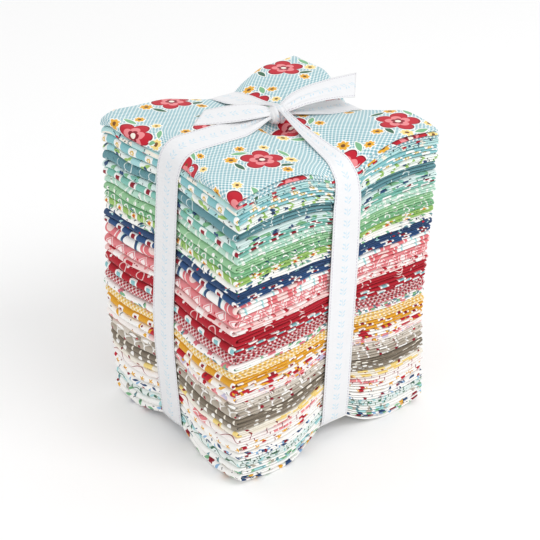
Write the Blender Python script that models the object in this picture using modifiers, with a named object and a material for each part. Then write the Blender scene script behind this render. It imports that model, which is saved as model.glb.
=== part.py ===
"""A bundle of fat quarters: folded cotton cuts stacked and tied crosswise with one ribbon.

Lengths are in metres. X runs along the folded width, Y along the folded depth and Z up from
the table. Each cut is folded in four along its length and then in three across its width,
so a cross-section along X shows three panels: the lower panel, the panel folded back over it
from the right, and the top panel that wraps round both on the left.
"""
import math
import random
from collections import namedtuple

import bmesh
import bpy

# Driving dimensions
INCH = 0.0254
CUT_WIDTH = 18 * INCH
CUT_LENGTH = 21 * INCH
HALF_WIDTH = CUT_WIDTH / 3 / 2
HALF_DEPTH = CUT_LENGTH / 4 / 2
QUARTER_GAP = 0.0007
PANEL_GAP = 0.0003
TOP_PANEL_SHORT = 0.0015
RIBBON_WIDTH = 0.0215
RIBBON_THICKNESS = 0.001
RIBBON_GAP = 0.00045

# The ribbon presses a shallow valley into the stack along each band. Between the valleys
# the cloth stands in four lobes, level on the underside, that start at the LOBE lines.
RAMP_ALONG_X = 0.036
RAMP_ALONG_Y = 0.034
BED_X_BOTTOM = 0.0018
BED_X_TOP = 0.008
SKEW_FRONT = 0.000
SKEW_BACK = 0.040
BED_Y_BOTTOM = 0.0065
BED_Y_TOP = -0.0005
LOBE_X_LEFT = -0.040
LOBE_X_RIGHT = 0.046
LOBE_Y_FRONT = -0.038
LOBE_Y_BACK = 0.042

# How far the top of the stack is pressed down, and its underside lifted, at each edge.
Press = namedtuple("Press", "left right front back centre")
TOP_PRESS = Press(left=0.0065, right=0.0085, front=0.0125, back=0.0055, centre=0.0010)
BOTTOM_LIFT = Press(left=0.0070, right=0.0085, front=0.0130, back=0.0110, centre=0.0080)
PRESS_POWER = 1.4

# How far each lobe puffs up on top, how far its outer corner droops below that, and how far
# the corners of the underside curl up off the table.
Corners = namedtuple("Corners", "near left right far")
LOBE_PUFF = Corners(near=0.0010, left=0.0040, right=0.0025, far=0.0100)
TOP_DROOP = Corners(near=0.0040, left=0.0025, right=0.0020, far=0.0000)
BOTTOM_CURL = Corners(near=0.0040, left=0.0040, right=0.0035, far=0.0040)

# The stack leans a little to the left below its middle and is drawn in under the ribbon.
LEAN_AT_ENDS = 0.0020
LEAN_DEPTH = 0.0046
LEAN_LEVEL = 0.42
LEAN_SPREAD = 0.18
WAIST = 0.0008
WAIST_TOP = 0.0035
WAIST_BOTTOM = 0.0010
WAIST_POWER = 10
EDGE_POWER = 4
SLIDE = 0.0005
SLIDE_SEED = 21

# Knot and tails, on the top face where the two bands of ribbon cross
KNOT_SIZE = (0.0120, 0.0120, 0.0095)
KNOT_PINCH = 0.86
KNOT_GAP = 0.0003
LOOP_DIRECTIONS = 48
LOOP_MERGE = 0.0003

# Middle of the bundle's outline along X, where the right tail reaches past the cloth. The whole
# bundle moves by this, so that the origin is under the middle of its bounding box.
MIDDLE_X = 0.0022

# The quarters from the table up: the height that each takes in the stack, and its colour
Quarter = namedtuple("Quarter", "name pitch color")
QUARTERS = (
    Quarter("white_posy", 0.0057, "F1EFEA"),
    Quarter("teal_twig", 0.0051, "D9E6E4"),
    Quarter("aqua_leaf", 0.0053, "DDE9E6"),
    Quarter("white_blue_sprig", 0.0055, "F0F0EE"),
    Quarter("white_star", 0.0073, "F2EEE4"),
    Quarter("pink_scroll", 0.0059, "F0E6E4"),
    Quarter("cream_block", 0.0046, "EDE3CF"),
    Quarter("brown_dot", 0.0044, "8C8174"),
    Quarter("taupe_bar", 0.0044, "7B7064"),
    Quarter("taupe_hexagon", 0.0069, "B4AAA0"),
    Quarter("taupe_band", 0.0052, "D8D0C8"),
    Quarter("cream_blossom", 0.0051, "F2E6DC"),
    Quarter("white_cherry", 0.0051, "F2EAE4"),
    Quarter("gold_square", 0.0070, "E5A627"),
    Quarter("yellow_check", 0.0057, "EBD27C"),
    Quarter("white_rose", 0.0051, "F0EEEA"),
    Quarter("red_check", 0.0067, "C8414E"),
    Quarter("red_square", 0.0057, "B31B2A"),
    Quarter("red_loop", 0.0075, "B81E2E"),
    Quarter("pale_pink", 0.0044, "EBC9C6"),
    Quarter("pink_lattice", 0.0067, "E08A90"),
    Quarter("pink_scallop", 0.0085, "F0DEDC"),
    Quarter("navy_square", 0.0044, "31508A"),
    Quarter("navy_plain", 0.0044, "2B4578"),
    Quarter("white_sprig", 0.0044, "EDF0EA"),
    Quarter("lime_circle", 0.0043, "9DC46A"),
    Quarter("green_ring", 0.0043, "6FA97E"),
    Quarter("green_dot", 0.0050, "9CC99A"),
    Quarter("arc_scallop", 0.0051, "CFE0D8"),
    Quarter("mint_square", 0.0050, "86C4B6"),
    Quarter("mint_berry", 0.0043, "C6DFDD"),
    Quarter("teal_loop", 0.0064, "5E9096"),
    Quarter("mint_leaf", 0.0044, "DCE9E4"),
    Quarter("aqua_flower", 0.0062, "7FC4C4"),
    Quarter("aqua_stripe", 0.0044, "B6DCDA"),
    Quarter("aqua_check", 0.0060, "A5D3D6"),
)
STACK_HEIGHT = sum(quarter.pitch for quarter in QUARTERS)

# Tails of the ribbon: each row is a place along the tail, measured from the knot's middle
TailRow = namedtuple("TailRow", "reach width rise twist cut")
Tail = namedtuple("Tail", "name heading rows")
TAILS = (
    Tail("ribbon_tail_left", math.radians(148), (
        TailRow(reach=0.0074, width=0.006, rise=0.0000, twist=0.000, cut=0.000),
        TailRow(reach=0.0130, width=0.011, rise=0.0004, twist=0.000, cut=0.000),
        TailRow(reach=0.0220, width=0.016, rise=0.0000, twist=0.000, cut=0.000),
        TailRow(reach=0.0340, width=0.021, rise=-0.0012, twist=0.000, cut=0.000),
        TailRow(reach=0.0465, width=0.021, rise=-0.0018, twist=0.000, cut=-0.003),
    )),
    Tail("ribbon_tail_right", math.radians(2.5), (
        TailRow(reach=0.0065, width=0.006, rise=0.0000, twist=0.000, cut=0.000),
        TailRow(reach=0.0150, width=0.010, rise=0.0016, twist=0.000, cut=0.000),
        TailRow(reach=0.0280, width=0.014, rise=0.0022, twist=0.001, cut=0.000),
        TailRow(reach=0.0440, width=0.017, rise=0.0014, twist=0.003, cut=0.000),
        TailRow(reach=0.0660, width=0.021, rise=0.0004, twist=0.005, cut=0.022),
    )),
)


def clear_scene():
    for item in list(bpy.data.objects):
        bpy.data.objects.remove(item, do_unlink=True)


def linear(hex_color):
    """Linear colour of an sRGB hex string."""
    channels = [int(hex_color[i:i + 2], 16) / 255 for i in (0, 2, 4)]
    return tuple(c / 12.92 if c <= 0.04045 else ((c + 0.055) / 1.055) ** 2.4 for c in channels)


def cloth_material(name, hex_color, roughness):
    material = bpy.data.materials.new(name)
    material.use_nodes = True
    shader = material.node_tree.nodes["Principled BSDF"]
    shader.inputs["Base Color"].default_value = (*linear(hex_color), 1.0)
    shader.inputs["Roughness"].default_value = roughness
    shader.inputs["Metallic"].default_value = 0.0
    return material


def link(name, mesh, material, collection):
    item = bpy.data.objects.new(name, mesh)
    item.data.materials.append(material)
    collection.objects.link(item)
    return item


def bed_x(level):
    """Middle of the crosswise valley at a level from 0, the table, to 1, the top."""
    return BED_X_BOTTOM + (BED_X_TOP - BED_X_BOTTOM) * level


def bed_y(level):
    """Middle of the lengthwise valley at a level."""
    return BED_Y_BOTTOM + (BED_Y_TOP - BED_Y_BOTTOM) * level


def skew(y, level):
    """Behind the knot the crosswise band runs at a slight slant over the top."""
    return (SKEW_FRONT if y < 0 else SKEW_BACK) * y * level


def rise(distance, ramp):
    """0 in the middle of a valley, easing up to 1 at the far end of the ramp beside it."""
    t = min(max(distance / ramp, 0.0), 1.0)
    return 1 - (1 - t) ** 2


def edge_value(position, low, high):
    return low if position < 0 else high


def pressed(press, a, b, off_x, off_y):
    """Depth of the cross-shaped bed at fractions a and b of the way out to the edges."""
    along_x = press.centre + (edge_value(a, press.left, press.right) - press.centre) * abs(a) ** PRESS_POWER
    along_y = press.centre + (edge_value(b, press.front, press.back) - press.centre) * abs(b) ** PRESS_POWER
    both = (1 - off_x) * (1 - off_y) * press.centre
    return (1 - off_x) * along_y + (1 - off_y) * along_x - both


def corner_value(corners, x, y):
    if y < 0:
        return edge_value(x, corners.near, corners.right)
    return edge_value(x, corners.left, corners.far)


def cornered(x, y):
    """0 over a lobe, growing to 1 at its outer corner."""
    start_x = edge_value(x, -LOBE_X_LEFT, LOBE_X_RIGHT)
    start_y = edge_value(y, -LOBE_Y_FRONT, LOBE_Y_BACK)
    out_x = max(abs(x) - start_x, 0.0) / (HALF_WIDTH - start_x)
    out_y = max(abs(y) - start_y, 0.0) / (HALF_DEPTH - start_y)
    return out_x * out_y


def lean(level):
    return LEAN_AT_ENDS - LEAN_DEPTH * math.exp(-0.5 * ((level - LEAN_LEVEL) / LEAN_SPREAD) ** 2)


def waist(level):
    return WAIST + WAIST_TOP * level ** WAIST_POWER + WAIST_BOTTOM * (1 - level) ** WAIST_POWER


def settle(x, y, z, slide):
    """Move a point of the flat stack to where it lies in the tied one."""
    level = min(max(z / STACK_HEIGHT, 0.0), 1.0)
    from_x = x - bed_x(level)
    from_y = y - bed_y(level)
    a = from_x / (HALF_WIDTH + math.copysign(bed_x(level), -from_x))
    b = from_y / (HALF_DEPTH + math.copysign(bed_y(level), -from_y))
    off_x = rise(abs(from_x), RAMP_ALONG_X)
    off_y = rise(abs(from_y), RAMP_ALONG_Y)
    crown = corner_value(LOBE_PUFF, a, b) * off_x * off_y - pressed(TOP_PRESS, a, b, off_x, off_y)
    crown -= corner_value(TOP_DROOP, x, y) * cornered(x, y)
    lift = pressed(BOTTOM_LIFT, a, b, off_x, off_y) + corner_value(BOTTOM_CURL, x, y) * cornered(x, y)
    edge_x = abs(x / HALF_WIDTH) ** EDGE_POWER
    edge_y = abs(y / HALF_DEPTH) ** EDGE_POWER
    new_x = x + edge_x * (lean(level) + slide[0] - math.copysign(waist(level) * (1 - off_y), x))
    new_x += (1 - edge_x) * skew(y, level)
    new_y = y + edge_y * (slide[1] - math.copysign(waist(level) * (1 - off_x), y))
    new_z = z + crown * level ** 3 + lift * (1 - level) ** 3
    return new_x, new_y, new_z


def fold_path(bottom, pitch, level):
    """Middle line of the folded pack, in X and Z, from its inner end to its outer end."""
    thickness = (pitch - QUARTER_GAP - 2 * PANEL_GAP) / 3
    low = bottom + thickness / 2
    middle = low + thickness + PANEL_GAP
    high = middle + thickness + PANEL_GAP
    left = -HALF_WIDTH + thickness / 2
    right = HALF_WIDTH - thickness / 2
    inner_end = -HALF_WIDTH + thickness + 2 * PANEL_GAP
    outer_end = HALF_WIDTH - TOP_PANEL_SHORT
    stations = (LOBE_X_LEFT, bed_x(level), LOBE_X_RIGHT)
    back_panel = [(x, middle) for x in (inner_end, *stations, right)]
    lower_panel = [(x, low) for x in (right, *reversed(stations), left)]
    top_panel = [(x, high) for x in (left, *stations, outer_end)]
    return back_panel + lower_panel + top_panel, thickness


def folded_sheet(name, bottom, pitch):
    """The pack as an open surface, folded in three, with a Solidify modifier for its thickness."""
    level = (bottom + pitch / 2) / STACK_HEIGHT
    path, thickness = fold_path(bottom, pitch, level)
    depth = (-HALF_DEPTH, LOBE_Y_FRONT, bed_y(level), LOBE_Y_BACK, HALF_DEPTH)
    bm = bmesh.new()
    bmesh.ops.create_grid(bm, x_segments=len(path) - 1, y_segments=len(depth) - 1, size=1)
    for vert in bm.verts:
        column = round((vert.co.x + 1) / 2 * (len(path) - 1))
        row = round((vert.co.y + 1) / 2 * (len(depth) - 1))
        vert.co = (path[column][0], depth[row], path[column][1])
    # Every panel is split along the same diagonals seen from above, so that panels nest, and
    # the diagonals cut across the corners, so that what is left of each lobe stays level.
    low = path[len(path) // 2][1]
    centres = {face: face.calc_center_median() for face in bm.faces}
    across = [f for f, c in centres.items() if (c.x * c.y > 0) != (abs(c.z - low) < 1e-5)]
    rest = [f for f in bm.faces if f not in across]
    bmesh.ops.triangulate(bm, faces=across, quad_method="ALTERNATE")
    bmesh.ops.triangulate(bm, faces=rest, quad_method="FIXED")
    mesh = bpy.data.meshes.new(name)
    bm.to_mesh(mesh)
    bm.free()
    return mesh, thickness


def add_solidify(item, thickness, offset):
    shell = item.modifiers.new("Thickness", "SOLIDIFY")
    shell.thickness = thickness
    shell.offset = offset
    shell.use_even_offset = True
    shell.use_rim = True


def baked_mesh(item):
    """Mesh of an object with its modifiers applied."""
    depsgraph = bpy.context.evaluated_depsgraph_get()
    return bpy.data.meshes.new_from_object(item.evaluated_get(depsgraph))


def build_quarters(collection):
    """Fold, stack and settle the quarters; return the edges of their settled surfaces."""
    chance = random.Random(SLIDE_SEED)
    items = []
    bottom = 0.0
    for number, quarter in enumerate(QUARTERS, start=1):
        name = f"quarter_{number:02d}_{quarter.name}"
        mesh, thickness = folded_sheet(name, bottom, quarter.pitch)
        material = cloth_material(quarter.name, quarter.color, 0.9)
        item = link(name, mesh, material, collection)
        add_solidify(item, thickness, 0.0)
        items.append(item)
        bottom += quarter.pitch
    edges = []
    for item in items:
        settled = baked_mesh(item)
        item.modifiers.clear()
        item.data = settled
        slide = (chance.uniform(-SLIDE, SLIDE), chance.uniform(-SLIDE, SLIDE))
        for vert in settled.vertices:
            vert.co = settle(*vert.co, slide)
        for edge in settled.edges:
            edges.append(tuple(settled.vertices[i].co.copy() for i in edge.vertices))
    return edges


def off_lengthwise(point):
    """How far a point is from the middle of the lengthwise band, along Y."""
    return point.y - bed_y(point.z / STACK_HEIGHT)


def off_crosswise(point):
    """How far a point is from the middle of the crosswise band, along X."""
    level = point.z / STACK_HEIGHT
    return point.x - bed_x(level) - skew(point.y, level)


def points_under(edges, off):
    """Points of the cloth under a band: corners within its width, and edges cut at its sides."""
    half = RIBBON_WIDTH / 2
    points = []
    for start, end in edges:
        off_start = off(start)
        off_end = off(end)
        points += [p for p, away in ((start, off_start), (end, off_end)) if abs(away) <= half]
        for side in (-half, half):
            if (off_start - side) * (off_end - side) < 0:
                points.append(start.lerp(end, (side - off_start) / (off_end - off_start)))
    return points


def taut_loop(points, clearance):
    """Corners of a convex loop that passes all points at the clearance, counterclockwise."""
    lines = []
    for step in range(LOOP_DIRECTIONS):
        angle = 2 * math.pi * step / LOOP_DIRECTIONS
        c = math.cos(angle)
        s = math.sin(angle)
        lines.append((c, s, max(p[0] * c + p[1] * s for p in points) + clearance))
    corners = []
    for (c0, s0, r0), (c1, s1, r1) in zip(lines, lines[1:] + lines[:1]):
        span = c0 * s1 - s0 * c1
        corner = ((r0 * s1 - r1 * s0) / span, (c0 * r1 - c1 * r0) / span)
        if not corners or math.dist(corner, corners[-1]) > LOOP_MERGE:
            corners.append(corner)
    if math.dist(corners[0], corners[-1]) <= LOOP_MERGE:
        corners.pop()
    return corners


def ribbon_band(name, corners, place, material, collection):
    """A closed band of ribbon; place gives the point on one edge (-1) or the other (1)."""
    bm = bmesh.new()
    rings = [[bm.verts.new(place(corner, side)) for corner in corners] for side in (-1, 1)]
    for ring in rings:
        for start, end in zip(ring, ring[1:] + ring[:1]):
            bm.edges.new((start, end))
    bmesh.ops.bridge_loops(bm, edges=list(bm.edges))
    middle_z = sum(v.co.z for v in bm.verts) / len(bm.verts)
    highest = max(bm.faces, key=lambda f: f.calc_center_median().z)
    highest.normal_update()
    if (highest.normal.z > 0) != (highest.calc_center_median().z > middle_z):
        bmesh.ops.reverse_faces(bm, faces=list(bm.faces))
    mesh = bpy.data.meshes.new(name)
    bm.to_mesh(mesh)
    bm.free()
    item = link(name, mesh, material, collection)
    add_solidify(item, RIBBON_THICKNESS, 1.0)
    return item


def build_bands(edges, material, collection):
    """The lengthwise band lies on the cloth and the crosswise band crosses outside it."""
    half = RIBBON_WIDTH / 2
    under_lengthwise = [(p.x, p.z) for p in points_under(edges, off_lengthwise)]
    lengthwise = taut_loop(under_lengthwise, RIBBON_GAP)

    def place_lengthwise(corner, side):
        x, z = corner
        return x, bed_y(z / STACK_HEIGHT) + side * half, z

    ribbon_band("ribbon_band_lengthwise", lengthwise, place_lengthwise, material, collection)
    highest = max(z for _, z in lengthwise) + RIBBON_THICKNESS
    lowest = min(z for _, z in lengthwise) - RIBBON_THICKNESS
    crossing = [(bed_y(level) + side * half, z) for level, z in ((1, highest), (0, lowest)) for side in (-1, 1)]
    under_crosswise = [(p.y, p.z) for p in points_under(edges, off_crosswise)]
    crosswise = taut_loop(under_crosswise + crossing, RIBBON_GAP)

    def place_crosswise(corner, side):
        y, z = corner
        level = z / STACK_HEIGHT
        return bed_x(level) + skew(y, level) - side * half, y, z

    ribbon_band("ribbon_band_crosswise", crosswise, place_crosswise, material, collection)
    return max(z for _, z in crosswise) + RIBBON_THICKNESS


def build_knot(base, material, collection):
    """The knot is a pinched, rounded lump on the crossing of the bands; return its mid height."""
    bm = bmesh.new()
    bmesh.ops.create_cube(bm, size=1.0)
    bmesh.ops.subdivide_edges(bm, edges=list(bm.edges), cuts=1, use_grid_fill=True)
    for vert in bm.verts:
        on_middle_ring = abs(vert.co.x) < 0.1
        pinch = KNOT_PINCH if on_middle_ring else 1.0
        vert.co = (
            vert.co.x * KNOT_SIZE[0],
            vert.co.y * KNOT_SIZE[1] * pinch,
            vert.co.z * KNOT_SIZE[2] * pinch,
        )
    mesh = bpy.data.meshes.new("ribbon_knot")
    bm.to_mesh(mesh)
    bm.free()
    knot = link("ribbon_knot", mesh, material, collection)
    smooth = knot.modifiers.new("Round", "SUBSURF")
    smooth.levels = 1
    smooth.render_levels = 1
    lowest = min(vert.co.z for vert in baked_mesh(knot).vertices)
    middle = base + KNOT_GAP - lowest
    knot.location = (BED_X_TOP, BED_Y_TOP, middle)
    return middle


def build_tail(tail, height, material, collection):
    """A free end of the ribbon, gathered where it leaves the knot and cut at a slant."""
    bm = bmesh.new()
    bmesh.ops.create_grid(bm, x_segments=len(tail.rows) - 1, y_segments=2, size=1)
    ahead = (math.cos(tail.heading), math.sin(tail.heading))
    for vert in bm.verts:
        row = tail.rows[round((vert.co.x + 1) / 2 * (len(tail.rows) - 1))]
        side = vert.co.y
        along = row.reach + row.cut * side / 2
        across = side * row.width / 2
        vert.co = (
            BED_X_TOP + ahead[0] * along - ahead[1] * across,
            BED_Y_TOP + ahead[1] * along + ahead[0] * across,
            height + row.rise + row.twist * side / 2,
        )
    mesh = bpy.data.meshes.new(tail.name)
    bm.to_mesh(mesh)
    bm.free()
    item = link(tail.name, mesh, material, collection)
    add_solidify(item, RIBBON_THICKNESS, 0.0)


def main():
    clear_scene()
    collection = bpy.data.collections.new("fat_quarter_bundle")
    bpy.context.scene.collection.children.link(collection)
    edges = build_quarters(collection)
    ribbon = cloth_material("ribbon", "EEEEF0", 0.55)
    band_top = build_bands(edges, ribbon, collection)
    knot_middle = build_knot(band_top, ribbon, collection)
    for tail in TAILS:
        build_tail(tail, knot_middle, ribbon, collection)
    for item in collection.objects:
        item.location.x -= MIDDLE_X


main()
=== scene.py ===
"""Looks of a bundle of fat quarters: 36 folded cuts of printed cotton tied with one ribbon.

Lengths are in metres. Each cut is one sheet of cloth. It is folded in four along its length,
with the folds at the front and back of the bundle, and then in three across its width, with
the last fold on the left. The ribbon runs round the stack both ways and is knotted on top.
"""

import math
from collections import namedtuple

import bmesh
import bpy
import numpy as np
from mathutils import Matrix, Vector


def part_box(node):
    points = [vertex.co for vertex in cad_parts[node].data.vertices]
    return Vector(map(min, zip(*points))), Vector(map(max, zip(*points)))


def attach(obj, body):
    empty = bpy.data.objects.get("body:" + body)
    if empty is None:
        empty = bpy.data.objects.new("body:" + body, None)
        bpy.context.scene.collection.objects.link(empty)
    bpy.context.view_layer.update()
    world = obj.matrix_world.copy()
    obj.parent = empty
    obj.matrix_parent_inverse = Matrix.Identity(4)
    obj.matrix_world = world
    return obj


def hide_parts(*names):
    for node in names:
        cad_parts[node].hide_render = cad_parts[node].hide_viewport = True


bl_info = {
    "name": "Fat quarter bundle",
    "version": (1, 0, 0),
    "blender": (4, 5, 0),
    "location": "View3D > Sidebar > Bundle",
    "description": "Folded printed cotton cuts in a stack, tied with a knotted ribbon",
    "category": "Object",
}

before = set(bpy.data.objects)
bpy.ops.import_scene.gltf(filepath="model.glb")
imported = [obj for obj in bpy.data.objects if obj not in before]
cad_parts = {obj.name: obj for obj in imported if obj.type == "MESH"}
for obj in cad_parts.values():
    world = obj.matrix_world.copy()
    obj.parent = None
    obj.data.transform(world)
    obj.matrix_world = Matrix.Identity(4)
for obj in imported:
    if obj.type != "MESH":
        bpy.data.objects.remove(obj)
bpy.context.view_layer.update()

INCH = 0.0254

# Shape of the tied stack, close to that of the model's solids. X and Y are in the stack's own
# plan, whose middle is MIDDLE_X to the left of the origin.
MIDDLE_X = 0.0022

# Middle of the bed that each run of the ribbon presses into the stack, at the bottom and the
# top, and the slant of the crosswise run behind the knot
BED_X_BOTTOM = 0.0018
BED_X_TOP = 0.008
BED_Y_BOTTOM = 0.0065
BED_Y_TOP = -0.0005
SLANT_BACK = 0.040

# Half the width of a bed, and how far from its middle the stack is back at its full height
BED_HALF = 0.0108
RAMP_ALONG_X = 0.045
RAMP_ALONG_Y = 0.043

# How deep the ribbon presses the top, and lifts the bottom, at each side and at the crossing
Press = namedtuple("Press", "left right front back centre")
TOP_PRESS = Press(left=-0.0028, right=0.0045, front=0.0080, back=0.0015, centre=-0.0022)
BOTTOM_LIFT = Press(left=0.0070, right=0.0085, front=0.0130, back=0.0110, centre=0.0080)
PRESS_POWER = 1.4

# How the beds and lobes fade into the stack, and the waves between cuts fade inward
FADE_POWER = 3

# The four lobes: how far each puffs up, droops towards its outer corner, rolls down right at
# that corner, and curls up from the table
Corners = namedtuple("Corners", "near left right far")
LOBE_PUFF = Corners(near=0.0012, left=0.0040, right=0.0025, far=0.0104)
TOP_DROOP = Corners(near=0.0056, left=-0.0040, right=0.0030, far=0.0016)
CORNER_ROLL = Corners(near=0.0000, left=0.0080, right=0.0010, far=0.0000)
BOTTOM_CURL = Corners(near=0.0048, left=0.0046, right=0.0042, far=0.0046)
DROOP_FROM = (0.046, 0.038)
DROOP_POWER = 1.8
ROLL_REACH = 0.012
ROLL_POWER = 1.5

# How far the far lobe's slopes hang below a round rise, and where along them this starts
FAR_SLACK = 0.0032
FAR_SLACK_FROM = 0.28

# Under the knot the cloth is drawn down into a small pit. The layers inside go a share deeper,
# from a little below the top layer on.
PIT_X = 0.001
PIT_Y = -0.0075
PIT_REACH = 0.0085
PIT_DEPTH = 0.0065
PIT_SLACK = 0.7
PIT_POWER = 6
TOP_LAYER = 0.0004
TOP_LAYER_FADE = 0.0003

# The stack leans to the right at its ends and to the left at LEAN_LEVEL of its height
LEAN_AT_ENDS = 0.0020
LEAN_DEPTH = 0.0046
LEAN_LEVEL = 0.42
LEAN_SPREAD = 0.18

# How far the ribbon draws in the sides, and how much more near the top and the bottom
WAIST = 0.0008
WAIST_TOP = 0.0004
WAIST_BOTTOM = 0.0010
WAIST_POWER = 10
EDGE_POWER = 4

# How far the stack stands out at its upright corners, between the two bands
FLARE_X = 0.0019
FLARE_Y = 0.0022
FLARE_POWER = 3

# Radius to which the ribbon rounds the stack's upper edges under it
Sides = namedtuple("Sides", "left right front back")
ROUND = Sides(left=0.0165, right=0.012, front=0.013, back=0.011)

# How much higher the left run of the ribbon lies at its back edge than at its front one
TILT_LEFT = 0.0022

# The ribbon rises into the knot
KNOT_RISE = 0.0026
KNOT_RISE_REACH = 0.017

# Longest seeded wave along a cut in: the pinch at its folds, the depth of its layers, the line
# of its folds at each side, the surface between two cuts, and the lie of its print
WAVES = {"pinch": 0.045, "depth": 0.06, "front": 0.070, "back": 0.060, "left": 0.055,
         "right": 0.060, "surface": 0.075, "along": 0.16, "across": 0.14}

# Share of the longest wave and of the height that each part of a wave has
WAVE_PARTS = ((1.0, 0.5), (0.57, 0.32), (0.31, 0.18))
FIELD_PARTS = (0.4, 0.35, 0.25)
FOLD_SEED = 40
SURFACE_SEED = 500
PRINT_SEED = 900

# How far the free edges stop short of the folds at the back and at the right
FREE_BACK = 0.0006
FREE_RIGHT = 0.0015

# How far from a folded edge the layers part, and how much that varies
PINCH_REACH = 0.006
PINCH_VARIES = 0.7

# How close to an edge its wander stays, and the share of it that the sides have
WANDER_POWER = 6
SIDE_WANDER = 0.8

# How much the plan's corners are rounded, the waves between two cuts and inside one, and how
# far a whole cut may have slid
PLAN_ROUND = 0.0006
PLAN_ROUND_REACH = 0.009
SURFACE_HEIGHT = 0.0050
PANEL_SHARE = 0.5
SLIDE = 0.0005

# The cuts from the table up: print, and the height that each takes in the stack in mm
CUT_HEIGHTS = (
    ("white_posy", 5.7), ("teal_twig", 5.1), ("aqua_leaf", 5.3), ("white_blue_sprig", 5.5),
    ("white_star", 7.3), ("pink_scroll", 5.9), ("cream_block", 4.6), ("brown_dot", 4.4),
    ("taupe_bar", 4.4), ("taupe_hexagon", 6.9), ("taupe_band", 5.2), ("cream_blossom", 5.1),
    ("white_cherry", 5.1), ("gold_square", 7.0), ("yellow_check", 5.7), ("white_rose", 5.1),
    ("red_check", 6.7), ("red_square", 5.7), ("red_loop", 7.5), ("pale_pink", 4.4),
    ("pink_lattice", 6.7), ("pink_scallop", 8.5), ("navy_square", 4.4), ("navy_plain", 4.4),
    ("white_sprig", 4.4), ("lime_circle", 4.3), ("green_ring", 4.3), ("green_dot", 5.0),
    ("arc_scallop", 5.1), ("mint_square", 5.0), ("mint_berry", 4.3), ("teal_loop", 6.4),
    ("mint_leaf", 4.4), ("aqua_flower", 6.2), ("aqua_stripe", 4.4), ("aqua_check", 6.0),
)
Cut = namedtuple("Cut", "node piece slot height")
CUTS = tuple(
    Cut(f"quarter_{number:02d}_{name}", f"cloth_{number:02d}_{name}", name, round(height / 1000, 4))
    for number, (name, height) in enumerate(CUT_HEIGHTS, 1))
STACK_HEIGHT = sum(cut.height for cut in CUTS)
BOTTOMS = np.concatenate(([0.0], np.cumsum([cut.height for cut in CUTS])))

# Colours of the cloths and inks, as sRGB hex
WHITE = "F9F8F5"
CREAM = "F3EDE0"
AQUA = "A9D7D9"
DEEP_AQUA = "8AC3C8"
TEAL = "63929A"
MINT = "84C2B4"
GREEN = "7FB78A"
LIME = "9EC46E"
DARK_GREEN = "3F6B52"
NAVY = "2C4A74"
BLUE = "8DB6DB"
RED = "BE1E30"
DARK_RED = "8E1A2B"
PINK = "E88A8E"
PALE_PINK = "F2D3D0"
GOLD = "E5AA33"
YELLOW = "F3D887"
TAUPE = "B5AB9D"
BROWN = "958A7B"
DARK_BROWN = "7F7465"
INK = "3B4648"
SEED_BROWN = "7A4E28"

# One motif of a print. shape is a mask group; cell is the repeat along the cut's length and
# width; size is the motif's two sizes; shift moves it in its cell; stagger slides every other
# row; wander and turn scatter it; share is how many cells have one; seed picks which; tilt turns
# the motif itself.
Motif = namedtuple("Motif", "shape ink cell size shift stagger wander turn share seed tilt")


def motif(shape, ink, cell, size, shift=(0, 0), stagger=0.0, wander=0.0, turn=0.0, share=1.0, seed=1,
          tilt=0.0):
    """One motif; a single number for the cell makes it square."""
    cell = cell if isinstance(cell, tuple) else (cell, cell)
    return Motif(shape, ink, cell, size, shift, stagger, wander, turn, share, seed, tilt)


def squares_with_centres(ink, centre, pitch=14.51, half=3.3, dot=1.8):
    """White rounded squares with a small square in each."""
    return (
        motif("square", ink, pitch, (half, 1.0)),
        motif("square", centre, pitch, (dot, 0.4)),
    )


def outlined(shape, ink, cell, size, line=0.8, **places):
    """A motif with a white line round it."""
    wider = (size[0] + line, size[1] + line * 0.8) if shape == "leaf" else (size[0] + line, size[1])
    return (motif(shape, WHITE, cell, wider, **places), motif(shape, ink, cell, size, **places))


def bouquets(cell, seed):
    """Large red blooms, each with leaves and small gold and yellow flowers round it."""
    rest = {"stagger": 0.5, "wander": 0.18, "turn": 0.45, "seed": seed}
    made = ()
    for shift, tilt, ink in (((14.5, 4.5), 0.5, GREEN), ((-14.5, -3.5), 0.6, DARK_GREEN),
                             ((10.5, -12.0), -0.8, DARK_GREEN), ((-9.5, 13.5), -0.7, GREEN)):
        made += outlined("leaf", ink, cell, (5.4, 1.7), shift=shift, tilt=tilt, **rest)
    made += outlined("petals", DARK_RED, cell, (12.8, 5), **rest)
    made += (motif("petals", RED, cell, (11.8, 5), **rest),)
    made += (motif("petals", PINK, cell, (7.4, 5), tilt=0.3, **rest),)
    made += (motif("petals", DARK_RED, cell, (4.0, 5), **rest),)
    made += (motif("disc", CREAM, cell, (1.7, 0), **rest),)
    for shift, size, ink in (((17.0, -5.0), 4.0, GOLD), ((-15.5, 6.0), 3.8, YELLOW),
                             ((15.5, 10.5), 3.2, GOLD), ((-16.5, -9.5), 3.4, GOLD),
                             ((2.5, 17.0), 3.0, YELLOW)):
        made += outlined("petals", ink, cell, (size, 7), shift=shift, **rest)
        made += (motif("disc", SEED_BROWN, cell, (size * 0.34, 0), shift=shift, **rest),)
    return made


def posies(inks, cell, size, seed, share=0.6):
    """Scattered small blooms, one set for each ink."""
    return tuple(
        motif("petals", ink, cell * (1 + 0.13 * step), (size, 5), wander=0.7, turn=1.0, share=share,
              seed=seed + step)
        for step, ink in enumerate(inks))


def leaves(inks, cell, length, width, seed, share=0.6):
    """Scattered small leaves, one set for each ink."""
    return tuple(
        motif("leaf", ink, cell * (1 + 0.17 * step), (length, width), wander=0.8, turn=1.0, share=share,
              seed=seed + step)
        for step, ink in enumerate(inks))


def ticks(ink, cell, seed, share=0.6):
    """Small dark marks scattered over a print."""
    return (motif("bar", ink, cell, (1.0, 0.32), wander=0.8, turn=1.0, share=share, seed=seed),
            motif("disc", ink, cell * 1.31, (0.45, 0), wander=0.9, share=share, seed=seed + 1))


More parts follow.
